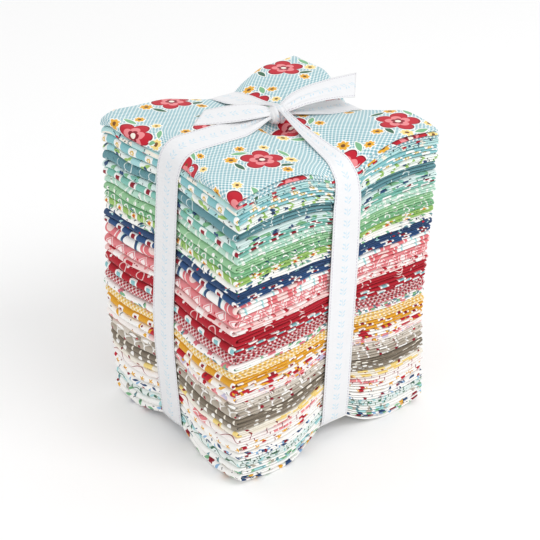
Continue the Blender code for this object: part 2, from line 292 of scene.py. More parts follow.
# Prints: the ground colour and the motifs from the bottom one up. Lengths here are in mm.
PRINTS = {
    "white_posy": (WHITE, leaves((GREEN, BLUE), 11, 3.2, 1.2, 11)
        + posies((DARK_RED, NAVY), 15, 2.8, 21) + posies((GOLD,), 19, 1.8, 31)
        + ticks(INK, 6.5, 201)),
    "teal_twig": (WHITE, (
        motif("square", AQUA, (21, 17), (5.5, 2.0), wander=0.5, share=0.5, seed=2),
    ) + leaves((TEAL, GREEN, TAUPE), 10, 3.6, 1.1, 14, 0.65) + ticks(INK, 7.0, 203)),
    "aqua_leaf": ("E6EFEC", (
        motif("wave", DARK_GREEN, (17, 6), (1.6, 0.3)),
    ) + leaves((DARK_GREEN, AQUA), 8, 2.6, 0.9, 41, 0.7) + ticks(INK, 7.5, 205)),
    "white_blue_sprig": (WHITE, leaves((NAVY, BLUE), 9, 2.8, 0.8, 51, 0.6)
        + posies((DARK_RED,), 13, 1.5, 55) + ticks(NAVY, 6.0, 207)),
    "white_star": (WHITE, (
        motif("star", GOLD, 8.5, (2.3, 5), stagger=0.5, turn=0.4),
        motif("bar", RED, (34, 17), (5.5, 1.7), wander=0.5, share=0.6, seed=6),
    ) + ticks(DARK_RED, 8.0, 209)),
    "pink_scroll": ("F7F0ED", (
        motif("square", PINK, (36, 18), (7.0, 1.5), stagger=0.5, share=0.5, seed=3),
        motif("wave", WHITE, (12, 4.5), (1.3, 0.35)),
        motif("wave", DARK_RED, (24, 12), (3.0, 0.3)),
    )),
    "cream_block": (CREAM, (
        motif("square", YELLOW, (19, 13), (4.0, 0.8), share=0.55, seed=8),
    ) + leaves((DARK_RED,), 9.5, 1.8, 0.8, 61, 0.8)),
    "brown_dot": (BROWN, (
        motif("disc", WHITE, 8.0, (1.7, 0)),
        motif("leaf", TAUPE, (8.0, 8.0), (2.2, 0.7), shift=(4, 4), turn=1.0),
    )),
    "taupe_bar": (DARK_BROWN, (
        motif("bar", CREAM, (8.2, 8.2), (0.8, 2.6)),
        motif("disc", TAUPE, 8.2, (1.0, 0), shift=(4.1, 4.1)),
    )),
    "taupe_hexagon": (TAUPE, (
        motif("hexagon", WHITE, (9.2, 9.2), (0.55, 0)),
        motif("disc", DARK_RED, 14.5, (1.25, 0), wander=0.1),
    )),
    "taupe_band": ("D9D1C6", (
        motif("bar", BROWN, (26, 13), (6.0, 1.8), stagger=0.5, wander=0.2),
        motif("leaf", WHITE, (13, 6.5), (4.0, 1.1), stagger=0.5),
        motif("disc", RED, (17, 13), (1.1, 0), wander=0.6, share=0.6, seed=5),
    ) + ticks(DARK_BROWN, 6.5, 237)),
    "cream_blossom": ("F7F1ED", posies((PINK, "C9C3DC", PALE_PINK), 10, 3.0, 71, 0.6)
        + posies((GOLD, RED), 14, 1.7, 77, 0.7) + ticks(DARK_RED, 7.0, 211)),
    "white_cherry": (WHITE, (
        motif("square", RED, (29, 15), (3.8, 0.8), wander=0.3, share=0.7, seed=9),
        motif("leaf", GOLD, (11, 8), (3.4, 1.0), wander=0.6, turn=1.0, share=0.7, seed=4),
        motif("disc", DARK_RED, 9, (0.9, 0), wander=0.7, share=0.5, seed=7),
    ) + ticks(INK, 6.5, 213)),
    "gold_square": ("DFA32C", squares_with_centres(WHITE, DARK_RED, 14.51, 2.7, 1.3) + (
        motif("petals", YELLOW, 14.51, (1.6, 6), shift=(5, 5)),
    )),
    "yellow_check": ("FBF3DC", (
        motif("gingham", "E6B94A", (3.3, 3.3), (0.9, 1)),
    )),
    "white_rose": (WHITE, posies((PINK, "D8737F"), 12, 2.6, 81, 0.6)
        + leaves((TEAL, GREEN), 9, 2.7, 1.0, 85, 0.65) + ticks(INK, 6.0, 215)),
    "red_check": ("F8ECEA", (
        motif("gingham", "A81428", (3.3, 3.3), (1.15, 1)),
    )),
    "red_square": ("B0192A", (
        motif("square", WHITE, 14.51, (3.3, 1.2)),
        motif("square", "B0192A", 14.51, (0.9, 0.3), shift=(3.3, 3.3), tilt=0.785),
        motif("square", "B0192A", 14.51, (0.9, 0.3), shift=(-3.3, -3.3), tilt=0.785),
        motif("square", DEEP_AQUA, 14.51, (1.9, 0.6)),
    )),
    "red_loop": ("B11A2B", (
        motif("ring", PALE_PINK, (19, 13), (3.1, 0.34), stagger=0.5, wander=0.2, share=0.8,
            seed=21),
        motif("arc", PALE_PINK, (19, 13), (4.6, 0.3), shift=(5.5, 1), tilt=2.6, stagger=0.5,
            share=0.8, seed=25),
        motif("petals", WHITE, (19, 13), (1.2, 5), shift=(-6, 3), share=0.6, seed=26),
    )),
    "pale_pink": (PALE_PINK, (
        motif("square", WHITE, (17, 12), (3.6, 1.0), wander=0.4, share=0.7, seed=12),
        motif("bar", RED, (21, 13), (3.4, 1.2), wander=0.5, share=0.7, seed=13),
        motif("disc", PINK, 7, (1.0, 0), wander=0.6, share=0.6, seed=14),
    ) + ticks(DARK_RED, 6.5, 225)),
    "pink_lattice": ("E48A8F", (
        motif("diamond", "FAECEA", (11.5, 9.5), (4.1, 0.35)),
        motif("diamond", "FAECEA", (11.5, 9.5), (1.3, 1.3)),
        motif("petals", RED, (11.5, 9.5), (1.0, 4), shift=(5.7, 0)),
    )),
    "pink_scallop": (WHITE, (
        motif("disc", AQUA, (43, 40), (15.0, 0), shift=(0, 4)),
        motif("ring", WHITE, (43, 40), (12.2, 1.5), shift=(0, 4)),
        motif("disc", "E0767C", (43, 40), (10.8, 0), shift=(0, 4)),
        motif("ring", "FBEFEC", (43, 40), (8.2, 0.4), shift=(0, 4)),
        motif("disc", "F3D9D4", (43, 40), (4.0, 0), shift=(0, 4)),
        motif("ring", NAVY, (43, 40), (6.8, 1.1), shift=(21.5, 0)),
        motif("ring", NAVY, (43, 40), (6.8, 1.1), shift=(-21.5, 0)),
    )),
    "navy_square": ("2C5080", squares_with_centres(WHITE, DARK_RED, 14.51, 3.1, 1.7)),
    "navy_plain": ("2B476F", leaves((AQUA, WHITE), 9, 1.9, 0.6, 91, 0.55) + (
        motif("disc", RED, 12, (0.9, 0), wander=0.6, share=0.6, seed=17),
    ) + ticks("1B2F4E", 6.5, 235)),
    "white_sprig": (WHITE, leaves((GREEN, TEAL, NAVY), 9, 2.8, 0.9, 101, 0.62)
        + ticks(INK, 6.0, 217)),
    "lime_circle": (LIME, (
        motif("disc", WHITE, 14.51, (3.3, 0)),
        motif("petals", GOLD, 14.51, (1.8, 5)),
        motif("disc", RED, 14.51, (0.8, 0)),
        motif("ring", WHITE, 14.51, (2.3, 0.35), shift=(7, 0)),
        motif("disc", GREEN, 14.51, (1.1, 0), shift=(6, 5)),
    ) + ticks(DARK_GREEN, 6.5, 231)),
    "green_ring": (GREEN, (
        motif("ring", WHITE, (7.25, 7.25), (1.8, 0.4), stagger=0.5),
        motif("leaf", NAVY, (15, 11), (1.8, 0.6), wander=0.5, turn=1.0, share=0.5, seed=18),
    ) + ticks(DARK_GREEN, 6.5, 233)),
    "green_dot": ("98C79A", (
        motif("disc", WHITE, (7.25, 7.25), (1.25, 0), stagger=0.5),
        motif("ring", "C9E2C4", (21.8, 21.8), (7.0, 0.45)),
    ) + ticks(DARK_GREEN, 6.5, 229)),
    "arc_scallop": ("B9DDCB", (
        motif("ring", "EEF3EC", (29, 24), (11.0, 1.0), shift=(0, 4)),
        motif("ring", "EEF3EC", (29, 24), (7.0, 0.5), shift=(0, 4)),
        motif("arc", BROWN, (29, 24), (5.5, 1.6), shift=(12, -1), tilt=2.0),
        motif("petals", WHITE, (29, 24), (2.6, 5), shift=(0, 4)),
    ) + ticks(DARK_GREEN, 7.0, 227)),
    "mint_square": (MINT, squares_with_centres(WHITE, DARK_RED, 14.51, 3.3, 1.8)),
    "mint_berry": ("D7E9E6", leaves((GREEN, MINT), 12, 4.4, 1.7, 111, 0.6)
        + posies((NAVY,), 14, 2.6, 115, 0.6) + ticks(INK, 6.5, 219)),
    "teal_loop": (TEAL, (
        motif("ring", "E4EEEC", (21, 13), (3.3, 0.3), stagger=0.5, wander=0.2, share=0.85, seed=32),
        motif("arc", "E4EEEC", (21, 13), (4.4, 0.25), shift=(6, 1), tilt=2.7, stagger=0.5,
            share=0.7, seed=33),
    ) + ticks("3C6A72", 7.5, 239)),
    "mint_leaf": ("EEF3EF", (
        motif("leaf", LIME, (15, 10), (3.4, 1.2), shift=(2.6, 0.8), turn=0.2, wander=0.3),
        motif("leaf", LIME, (15, 10), (3.4, 1.2), shift=(-2.6, 0.8), turn=0.2, wander=0.3),
        motif("disc", NAVY, (15, 10), (1.5, 0), wander=0.8, share=0.55, seed=19),
        motif("square", AQUA, (25, 19), (4.0, 1.5), wander=0.5, share=0.5, seed=20),
    ) + ticks(INK, 6.0, 221)),
    "aqua_flower": (DEEP_AQUA, (
        motif("square", WHITE, 14.51, (3.3, 1.4)),
        motif("petals", "D9B45A", 14.51, (1.9, 7)),
        motif("disc", "F4EBD4", 14.51, (0.8, 0)),
    )),
    "aqua_stripe": ("B9DEDD", (
        motif("bar", CREAM, (21, 7), (6.0, 1.3), stagger=0.5, wander=0.2),
        motif("arc", TEAL, (17, 11), (3.8, 0.4), wander=0.5, turn=0.7, share=0.5, seed=22),
        motif("square", RED, (23, 17), (1.6, 0.4), wander=0.7, share=0.6, seed=23),
        motif("leaf", NAVY, (19, 13), (2.0, 0.7), wander=0.7, turn=1.0, share=0.5, seed=24),
    ) + ticks(INK, 6.0, 223)),
    "aqua_check": ("F3F8F6", (
        motif("gingham", "7FB1BC", (2.9, 2.9), (0.95, 1)),
    ) + bouquets((50, 45), 70)),
}


# ---------------------------------------------------------------- settings


def length_setting(name, description, default, least):
    """A length in the panel."""
    return bpy.props.FloatProperty(name=name, description=description, default=default, min=least,
                                   subtype="DISTANCE", unit="LENGTH")


def share_setting(name, description, default, most):
    """A share in the panel."""
    return bpy.props.FloatProperty(name=name, description=description, default=default, min=0.0,
                                   max=most)


def color_setting(name, description, default):
    """A colour in the panel."""
    return bpy.props.FloatVectorProperty(name=name, description=description, default=default,
                                         size=3, min=0.0, max=1.0, subtype="COLOR")


class CutSettings(bpy.types.PropertyGroup):
    """Sizes of the cuts, and how evenly they are folded"""

    width: length_setting(
        "Cut width", "Width of each cut before it is folded in three", 18 * INCH, 0.1)
    length: length_setting(
        "Cut length", "Length of each cut before it is folded in four", 21 * INCH, 0.1)
    thickness: length_setting(
        "Cloth thickness", "Thickness of one layer of cotton", 0.0002, 0.0001)
    gap: length_setting(
        "Gap", "Space between one folded cut and the next", 0.00030, 0.0)
    fold_wobble: length_setting(
        "Fold wobble", "How far the folds wander in and out along an edge", 0.0006, 0.0)
    panel_slip: length_setting(
        "Panel slip", "How far one panel of a cut stands out past the next", 0.0005, 0.0)
    swell: share_setting(
        "Swell", "How much a cut's thickness varies along its edge, as a share of it", 0.085, 0.2)
    pinch: share_setting(
        "Pinch", "How much thinner a folded panel is at its front and back folds", 0.30, 0.4)
    uneven: share_setting(
        "Unevenness", "How unevenly the layers of a folded panel share its thickness", 0.11, 0.15)
    off_grain: length_setting(
        "Off grain", "How far the print wanders from the fold along the front", 0.004, 0.0)
    thread: length_setting(
        "Thread pitch", "Distance from one thread of the weave to the next", 0.0004, 0.0001)


class RibbonSettings(bpy.types.PropertyGroup):
    """Sizes and colours of the ribbon"""

    width: length_setting(
        "Ribbon width", "Width of the ribbon where it lies flat", 0.0215, 0.002)
    thickness: length_setting(
        "Ribbon thickness", "Thickness of the ribbon", 0.0003, 0.0001)
    clearance: length_setting(
        "Clearance", "Space from the cloth to the middle of the ribbon", 0.0004, 0.0)
    gathered: length_setting(
        "Gathered width", "Width of the ribbon where it enters the knot", 0.0050, 0.001)
    color: color_setting(
        "Ribbon colour", "Colour of the ribbon", (0.80, 0.805, 0.82))
    stitch_color: color_setting(
        "Stitch colour", "Colour of the stitches along the ribbon's edges", (0.48, 0.45, 0.53))
    sprig_color: color_setting(
        "Sprig colour", "Colour of the small sprigs along the ribbon's middle", (0.40, 0.66, 0.80))


class StageSettings(bpy.types.PropertyGroup):
    """The camera's lens, the floor and the light"""

    lens: bpy.props.FloatProperty(
        name="Lens", description="Focal length of the camera", default=86.667, min=10.0,
        subtype="DISTANCE_CAMERA", unit="CAMERA")
    floor_color: color_setting("Floor colour", "Colour of the floor", (0.96, 0.96, 0.96))
    sky: bpy.props.FloatProperty(
        name="Surround", description="Strength of the even light from all round", default=0.93, min=0.0)


def cut_settings():
    """What the panel says about the cuts."""
    return bpy.context.scene.bundle_cuts


def ribbon_settings():
    """What the panel says about the ribbon."""
    return bpy.context.scene.bundle_ribbon


def stage_settings():
    """What the panel says about the floor, the light and the camera."""
    return bpy.context.scene.bundle_stage


# ---------------------------------------------------------------- colours and nodes


def linear(hex_color):
    """Linear colour of an sRGB hex string, with alpha."""
    channels = [int(hex_color[i:i + 2], 16) / 255 for i in (0, 2, 4)]
    made = (c / 12.92 if c <= 0.04045 else ((c + 0.055) / 1.055) ** 2.4 for c in channels)
    return (*made, 1.0)


def feed(tree, socket, value):
    """Link a socket, or set its value."""
    if isinstance(value, bpy.types.NodeSocket):
        tree.links.new(value, socket)
    else:
        socket.default_value = value


def calc(tree, operation, *values):
    """One step of arithmetic on numbers."""
    node = tree.nodes.new("ShaderNodeMath")
    node.operation = operation
    for socket, value in zip(node.inputs, values):
        feed(tree, socket, value)
    return node.outputs[0]


def calc_vector(tree, operation, *values):
    """One step of arithmetic on vectors."""
    node = tree.nodes.new("ShaderNodeVectorMath")
    node.operation = operation
    for socket, value in zip(node.inputs, values):
        feed(tree, socket, value)
    return node.outputs["Value" if operation in ("LENGTH", "DOT_PRODUCT") else "Vector"]


def split(tree, vector):
    """The three numbers of a vector."""
    node = tree.nodes.new("ShaderNodeSeparateXYZ")
    tree.links.new(vector, node.inputs[0])
    return node.outputs


def joined(tree, x, y, z=0.0):
    """A vector from three numbers."""
    node = tree.nodes.new("ShaderNodeCombineXYZ")
    for socket, value in zip(node.inputs, (x, y, z)):
        feed(tree, socket, value)
    return node.outputs[0]


def turned_round(tree, vector, angle):
    """A vector turned about Z."""
    node = tree.nodes.new("ShaderNodeVectorRotate")
    node.rotation_type = "Z_AXIS"
    tree.links.new(vector, node.inputs["Vector"])
    feed(tree, node.inputs["Angle"], angle)
    return node.outputs["Vector"]


def mix_color(tree, factor, below, above, blend="MIX"):
    """Lay one colour over another."""
    node = tree.nodes.new("ShaderNodeMix")
    node.data_type = "RGBA"
    node.blend_type = blend
    feed(tree, node.inputs["Factor"], factor)
    feed(tree, node.inputs[6], below)
    feed(tree, node.inputs[7], above)
    return node.outputs[2]


def new_group(name, inputs, outputs):
    """A shader node group with named sockets: (tree, group inputs, group outputs)."""
    tree = bpy.data.node_groups.new(name, "ShaderNodeTree")
    for socket, kind, default in inputs:
        made = tree.interface.new_socket(socket, in_out="INPUT", socket_type=kind)
        if default is not None:
            made.default_value = default
    for socket, kind in outputs:
        tree.interface.new_socket(socket, in_out="OUTPUT", socket_type=kind)
    enter = tree.nodes.new("NodeGroupInput")
    leave = tree.nodes.new("NodeGroupOutput")
    return tree, enter.outputs, leave.inputs


def use_group(tree, name, **values):
    """Place a group; the keywords are its inputs, with _ for a space."""
    node = tree.nodes.new("ShaderNodeGroup")
    node.node_tree = bpy.data.node_groups[name]
    for key, value in values.items():
        feed(tree, node.inputs[key.replace("_", " ")], value)
    return node.outputs


def edge_mask(tree, distance, soft):
    """1 inside a motif's outline and 0 outside, with an edge as soft as ink on cotton."""
    slope = calc(tree, "DIVIDE", distance, soft)
    inside = calc(tree, "SUBTRACT", 0.5, slope)
    inside.node.use_clamp = True
    return inside


VECTOR = "NodeSocketVector"
FLOAT = "NodeSocketFloat"
COLOR = "NodeSocketColor"
INK_SOFTNESS = 0.00022


def make_cell_group():
    """Repeats a print: the place within a cell, turned and scattered, and whether it is used."""
    tree, given, out = new_group(
        "print_cells",
        [("Flat", VECTOR, None), ("Cell", VECTOR, (0.01, 0.01, 1.0)), ("Shift", VECTOR, (0, 0, 0)),
         ("Stagger", FLOAT, 0.0), ("Wander", FLOAT, 0.0), ("Turn", FLOAT, 0.0), ("Share", FLOAT, 1.0),
         ("Seed", FLOAT, 1.0), ("Tilt", FLOAT, 0.0)],
        [("Local", VECTOR), ("Used", FLOAT)])
    scaled = calc_vector(tree, "DIVIDE", given["Flat"], given["Cell"])
    x, y, _ = split(tree, scaled)
    row = calc(tree, "FLOOR", calc(tree, "ADD", y, 0.5))
    odd = calc(tree, "PINGPONG", row, 1.0)
    x = calc(tree, "ADD", x, calc(tree, "MULTIPLY", odd, given["Stagger"]))
    column = calc(tree, "FLOOR", calc(tree, "ADD", x, 0.5))
    noise = tree.nodes.new("ShaderNodeTexWhiteNoise")
    noise.noise_dimensions = "3D"
    tree.links.new(joined(tree, column, row, given["Seed"]), noise.inputs["Vector"])
    chance = calc_vector(tree, "SUBTRACT", noise.outputs["Color"], (0.5, 0.5, 0.5))
    centred = joined(tree, calc(tree, "SUBTRACT", x, column), calc(tree, "SUBTRACT", y, row))
    scatter = calc_vector(tree, "SCALE", chance)
    feed(tree, scatter.node.inputs["Scale"], given["Wander"])
    flat_scatter = calc_vector(tree, "MULTIPLY", scatter, (1.0, 1.0, 0.0))
    away = calc_vector(tree, "SUBTRACT", centred, flat_scatter)
    local = calc_vector(tree, "MULTIPLY", away, given["Cell"])
    turns = calc(tree, "MULTIPLY", split(tree, chance)[2], given["Turn"])
    turned_cell = turned_round(tree, local, calc(tree, "MULTIPLY", turns, 2 * math.pi))
    moved = calc_vector(tree, "SUBTRACT", turned_cell, given["Shift"])
    tree.links.new(turned_round(tree, moved, given["Tilt"]), out["Local"])
    tree.links.new(calc(tree, "LESS_THAN", noise.outputs["Value"], given["Share"]), out["Used"])


def motif_group(name):
    """The sockets that every motif's mask has."""
    return new_group(
        "motif_" + name,
        [("Local", VECTOR, None), ("Size", FLOAT, 0.003), ("Form", FLOAT, 0.001),
         ("Cell", VECTOR, (0.01, 0.01, 1))],
        [("Mask", FLOAT)])


def make_round_groups():
    """Masks measured from the motif's middle: disc, ring, arc, petals and star."""
    for name in ("disc", "ring", "arc", "petals", "star"):
        tree, given, out = motif_group(name)
        x, y, _ = split(tree, given["Local"])
        far = calc_vector(tree, "LENGTH", joined(tree, x, y))
        if name in ("petals", "star"):
            angle = calc(tree, "ARCTAN2", y, x)
            lobe = calc(tree, "ABSOLUTE", calc(tree, "COSINE", calc(tree, "MULTIPLY", angle, calc(
                tree, "MULTIPLY", given["Form"], 0.5))))
            low, power = (0.62, 0.7) if name == "petals" else (0.36, 2.2)
            lobe = calc(tree, "POWER", lobe, power)
            reach = calc(tree, "MULTIPLY_ADD", lobe, 1 - low, low)
            distance = calc(tree, "SUBTRACT", far, calc(tree, "MULTIPLY", reach, given["Size"]))
        else:
            distance = calc(tree, "SUBTRACT", far, given["Size"])
        if name in ("ring", "arc"):
            distance = calc(tree, "SUBTRACT", calc(tree, "ABSOLUTE", distance), given["Form"])
        if name == "arc":
            distance = calc(tree, "MAXIMUM", distance, calc(tree, "MULTIPLY", y, -1.0))
        tree.links.new(edge_mask(tree, distance, INK_SOFTNESS), out["Mask"])


def make_straight_groups():
    """Masks with straight or pointed outlines: rounded square, bar, diamond, leaf and wavy line."""
    for name in ("square", "bar", "diamond", "leaf", "wave"):
        tree, given, out = motif_group(name)
        x, y, _ = split(tree, given["Local"])
        if name == "diamond":
            distance = calc(tree, "SUBTRACT", calc(
                tree, "ADD", calc(tree, "ABSOLUTE", x), calc(tree, "ABSOLUTE", y)), given["Size"])
            distance = calc(tree, "SUBTRACT", calc(tree, "ABSOLUTE", distance), given["Form"])
        elif name == "leaf":
            along = calc(tree, "DIVIDE", x, given["Size"])
            wide = calc(tree, "SUBTRACT", 1.0, calc(tree, "MULTIPLY", along, along))
            half = calc(tree, "MULTIPLY", wide, given["Form"])
            distance = calc(tree, "SUBTRACT", calc(tree, "ABSOLUTE", y), half)
        elif name == "wave":
            span = split(tree, given["Cell"])[0]
            turns = calc(tree, "DIVIDE", calc(tree, "MULTIPLY", x, 2 * math.pi), span)
            line = calc(tree, "MULTIPLY", calc(tree, "SINE", turns), given["Size"])
            distance = calc(tree, "SUBTRACT", calc(
                tree, "ABSOLUTE", calc(tree, "SUBTRACT", y, line)), given["Form"])
        else:
            corner = given["Form"] if name == "square" else calc(tree, "MULTIPLY", given["Form"], 0.6)
            half_y = given["Size"] if name == "square" else given["Form"]
            sides = []
            for value, half in ((x, given["Size"]), (y, half_y)):
                flat = calc(tree, "SUBTRACT", half, corner)
                sides.append(calc(tree, "MAXIMUM", calc(tree, "SUBTRACT", calc(
                    tree, "ABSOLUTE", value), flat), 0.0))
            distance = calc(tree, "SUBTRACT", calc_vector(tree, "LENGTH", joined(tree, *sides)), corner)
        tree.links.new(edge_mask(tree, distance, INK_SOFTNESS), out["Mask"])


def make_field_groups():
    """Masks that fill the cloth: gingham and the outlines of hexagons."""
    tree, given, out = motif_group("gingham")
    x, y, _ = split(tree, calc_vector(tree, "DIVIDE", given["Local"], given["Cell"]))
    plus = calc(tree, "ADD", x, y)
    minus = calc(tree, "SUBTRACT", x, y)
    x = calc(tree, "MULTIPLY_ADD", calc(tree, "SUBTRACT", plus, x), given["Form"], x)
    y = calc(tree, "MULTIPLY_ADD", calc(tree, "SUBTRACT", minus, y), given["Form"], y)
    stripes = []
    for value in (x, y):
        wave = calc(tree, "SINE", calc(tree, "MULTIPLY", value, 2 * math.pi))
        stripe = calc(tree, "MULTIPLY_ADD", wave, 1.5, given["Size"])
        stripe.node.use_clamp = True
        stripes.append(calc(tree, "MULTIPLY", stripe, 0.5))
    tree.links.new(calc(tree, "ADD", *stripes), out["Mask"])

    tree, given, out = motif_group("hexagon")
    flat = calc_vector(tree, "DIVIDE", given["Local"], given["Cell"])
    spans = (1.0, math.sqrt(3), 1.0)
    halves = tuple(s / 2 for s in spans)
    places = []
    for start in ((0.0, 0.0, 0.0), halves):
        moved = calc_vector(tree, "SUBTRACT", flat, start)
        wrapped = tree.nodes.new("ShaderNodeVectorMath")
        wrapped.operation = "WRAP"
        tree.links.new(moved, wrapped.inputs[0])
        wrapped.inputs[1].default_value = halves
        wrapped.inputs[2].default_value = tuple(-h for h in halves)
        x, y, _ = split(tree, wrapped.outputs[0])
        x = calc(tree, "ABSOLUTE", x)
        y = calc(tree, "ABSOLUTE", y)
        slant = calc(tree, "MULTIPLY_ADD", y, math.sqrt(3) / 2, calc(tree, "MULTIPLY", x, 0.5))
        places.append(calc(tree, "MAXIMUM", x, slant))
    nearest = calc(tree, "MINIMUM", *places)
    inside = calc(tree, "MULTIPLY", calc(tree, "SUBTRACT", 0.5, nearest), split(tree, given["Cell"])[0])
    distance = calc(tree, "SUBTRACT", inside, given["Size"])
    tree.links.new(edge_mask(tree, distance, INK_SOFTNESS), out["Mask"])


def make_weave_group():
    """Plain weave: the height of the threads and how their tone varies."""
    tree, given, out = new_group(
        "plain_weave", [("Flat", VECTOR, None), ("Thread", FLOAT, 0.0004)],
        [("Height", FLOAT), ("Tone", FLOAT)])
    pitch = joined(tree, given["Thread"], given["Thread"], 1.0)
    x, y, _ = split(tree, calc_vector(tree, "DIVIDE", given["Flat"], pitch))
    over = calc(tree, "MULTIPLY", calc(tree, "SINE", calc(tree, "MULTIPLY", x, math.pi)),
                calc(tree, "SINE", calc(tree, "MULTIPLY", y, math.pi)))
    slubs = tree.nodes.new("ShaderNodeTexNoise")
    slubs.noise_dimensions = "3D"
    slubs.inputs["Scale"].default_value = 900.0
    slubs.inputs["Detail"].default_value = 2.0
    stretched = calc_vector(tree, "MULTIPLY", given["Flat"], (1.0, 0.12, 1.0))
    tree.links.new(stretched, slubs.inputs["Vector"])
    height = calc(tree, "MULTIPLY_ADD", over, 0.5, slubs.outputs["Fac"])
    tree.links.new(height, out["Height"])
    broad = tree.nodes.new("ShaderNodeTexNoise")
    broad.inputs["Scale"].default_value = 60.0
    broad.inputs["Detail"].default_value = 3.0
    tree.links.new(given["Flat"], broad.inputs["Vector"])
    tone = calc(tree, "ADD", calc(tree, "MULTIPLY", slubs.outputs["Fac"], 0.5),
                calc(tree, "MULTIPLY", broad.outputs["Fac"], 0.5))
    tree.links.new(tone, out["Tone"])


def make_node_groups():
    """All groups that the prints and the ribbon share."""
    make_cell_group()
    make_round_groups()
    make_straight_groups()
    make_field_groups()
    make_weave_group()


def print_layer(tree, flat, layer, ground):
    """Lay one motif of a print over the colours so far."""
    cell = (layer.cell[0] / 1000, layer.cell[1] / 1000, 1.0)
    size = layer.size[0] / 1000
    form = layer.size[1] / 1000
    if layer.shape in ("petals", "star"):
        form = layer.size[1]
    if layer.shape == "gingham":
        mask = use_group(tree, "motif_gingham", Local=flat, Cell=cell, Size=layer.size[0],
                         Form=layer.size[1])["Mask"]
        return mix_color(tree, mask, ground, linear(layer.ink))
    if layer.shape == "hexagon":
        mask = use_group(tree, "motif_hexagon", Local=flat, Cell=cell, Size=size)["Mask"]
        return mix_color(tree, mask, ground, linear(layer.ink))
    shift = (layer.shift[0] / 1000, layer.shift[1] / 1000, 0)
    # A motif never wanders so far that its cell's edge cuts it
    room = 1 - 2 * (layer.size[0] + math.hypot(*layer.shift)) / min(layer.cell)
    wander = layer.wander if layer.stagger and layer.wander < 0.3 else min(layer.wander, max(room, 0.0))
    cells = use_group(
        tree, "print_cells", Flat=flat, Cell=cell, Shift=shift, Stagger=layer.stagger, Wander=wander,
        Turn=layer.turn, Share=layer.share, Seed=float(layer.seed), Tilt=layer.tilt)
    mask = use_group(tree, "motif_" + layer.shape, Local=cells["Local"], Size=size, Form=form,
                     Cell=cell)["Mask"]
    used = calc(tree, "MULTIPLY", mask, cells["Used"])
    return mix_color(tree, used, ground, linear(layer.ink))


def new_material(name, surface):
    """A material with its shader's sockets set from a table."""
    material = bpy.data.materials.new(name)
    material.use_nodes = True
    shader = material.node_tree.nodes["Principled BSDF"]
    for socket, value in surface.items():
        shader.inputs[socket].default_value = value
    return material


def flat_cloth(tree):
    """Where a point lies on the cloth before it is folded."""
    node = tree.nodes.new("ShaderNodeUVMap")
    node.uv_map = "FlatCloth"
    return node.outputs["UV"]


def weave_cloth(tree, color, tone, height, shade, relief):
    """Shade the colour with the threads' tone and raise their height, on the material's shader."""
    shader = tree.nodes["Principled BSDF"]
    factor = calc(tree, "MULTIPLY_ADD", tone, *shade)
    color = mix_color(tree, 1.0, color, joined(tree, factor, factor, factor), "MULTIPLY")
    bump = tree.nodes.new("ShaderNodeBump")
    bump.inputs["Strength"].default_value, bump.inputs["Distance"].default_value = relief
    tree.links.new(height, bump.inputs["Height"])
    tree.links.new(color, shader.inputs["Base Color"])
    tree.links.new(bump.outputs["Normal"], shader.inputs["Normal"])


def cotton_material(name):
    """Matte printed cotton: the print, the weave in its tone and relief, and a soft fuzz."""
    ground, layers = PRINTS[name]
    material = new_material("cotton_" + name, {
        "Roughness": 0.88, "Specular IOR Level": 0.25, "Sheen Weight": 0.12, "Sheen Roughness": 0.5})
    tree = material.node_tree
    flat = flat_cloth(tree)
    color = linear(ground)
    for layer in layers:
        color = print_layer(tree, flat, layer, color)
    weave = use_group(tree, "plain_weave", Flat=flat, Thread=cut_settings().thread)
    weave_cloth(tree, color, weave["Tone"], weave["Height"], (0.22, 0.89), (0.25, 0.00012))
    return material


def ribbon_material():
    """White satin ribbon with fine ribs, a stitched line inside each edge and small sprigs."""
    settings = ribbon_settings()
    material = new_material("ribbon_satin", {
        "Roughness": 0.5, "Sheen Weight": 0.2, "Specular IOR Level": 0.4})
    tree = material.node_tree
    flat = flat_cloth(tree)
    along, across, _ = split(tree, flat)
    beside = calc(tree, "SUBTRACT", calc(tree, "ABSOLUTE", across), settings.width / 2 - 0.0013)
    dashes = use_group(tree, "motif_bar", Size=0.00075, Form=0.0002, Cell=(0.0021, 1, 1), Local=joined(
        tree, calc(tree, "WRAP", along, 0.00105, -0.00105), beside))["Mask"]
    color = mix_color(tree, dashes, (*settings.color, 1.0), (*settings.stitch_color, 1.0))
    sprig = (*settings.sprig_color, 1.0)
    for shift, turn in (((0.0, 0.0), 0.0), ((0.0007, 0.0017), 0.9), ((0.0019, -0.0015), -0.9),
                        ((-0.0017, 0.0014), 0.9), ((-0.0005, -0.0018), -0.9)):
        cells = use_group(tree, "print_cells", Flat=flat, Cell=(0.0076, 1.0, 1.0), Seed=3.0)["Local"]
        place = turned_round(tree, calc_vector(tree, "SUBTRACT", cells, (*shift, 0)), turn)
        long, wide = (0.0030, 0.00022) if turn == 0.0 else (0.0014, 0.00046)
        mask = use_group(tree, "motif_leaf", Local=place, Size=long, Form=wide)["Mask"]
        color = mix_color(tree, calc(tree, "MULTIPLY", mask, 0.6), color, sprig)
    ribs = calc(tree, "SINE", calc(tree, "MULTIPLY", along, 2 * math.pi / 0.0005))
    weave = use_group(tree, "plain_weave", Flat=flat, Thread=0.0003)
    height = calc(tree, "MULTIPLY_ADD", ribs, 0.4, weave["Height"])
    height = calc(tree, "ADD", height, calc(tree, "MULTIPLY", dashes, -1.5))
    weave_cloth(tree, color, weave["Tone"], height, (0.10, 0.95), (0.3, 0.0001))
    return material


# ---------------------------------------------------------------- the settled stack


def bed_x(level):
    """X of the middle of the crosswise bed, at a level from 0 at the table to 1 on top."""
    return BED_X_BOTTOM + (BED_X_TOP - BED_X_BOTTOM) * level


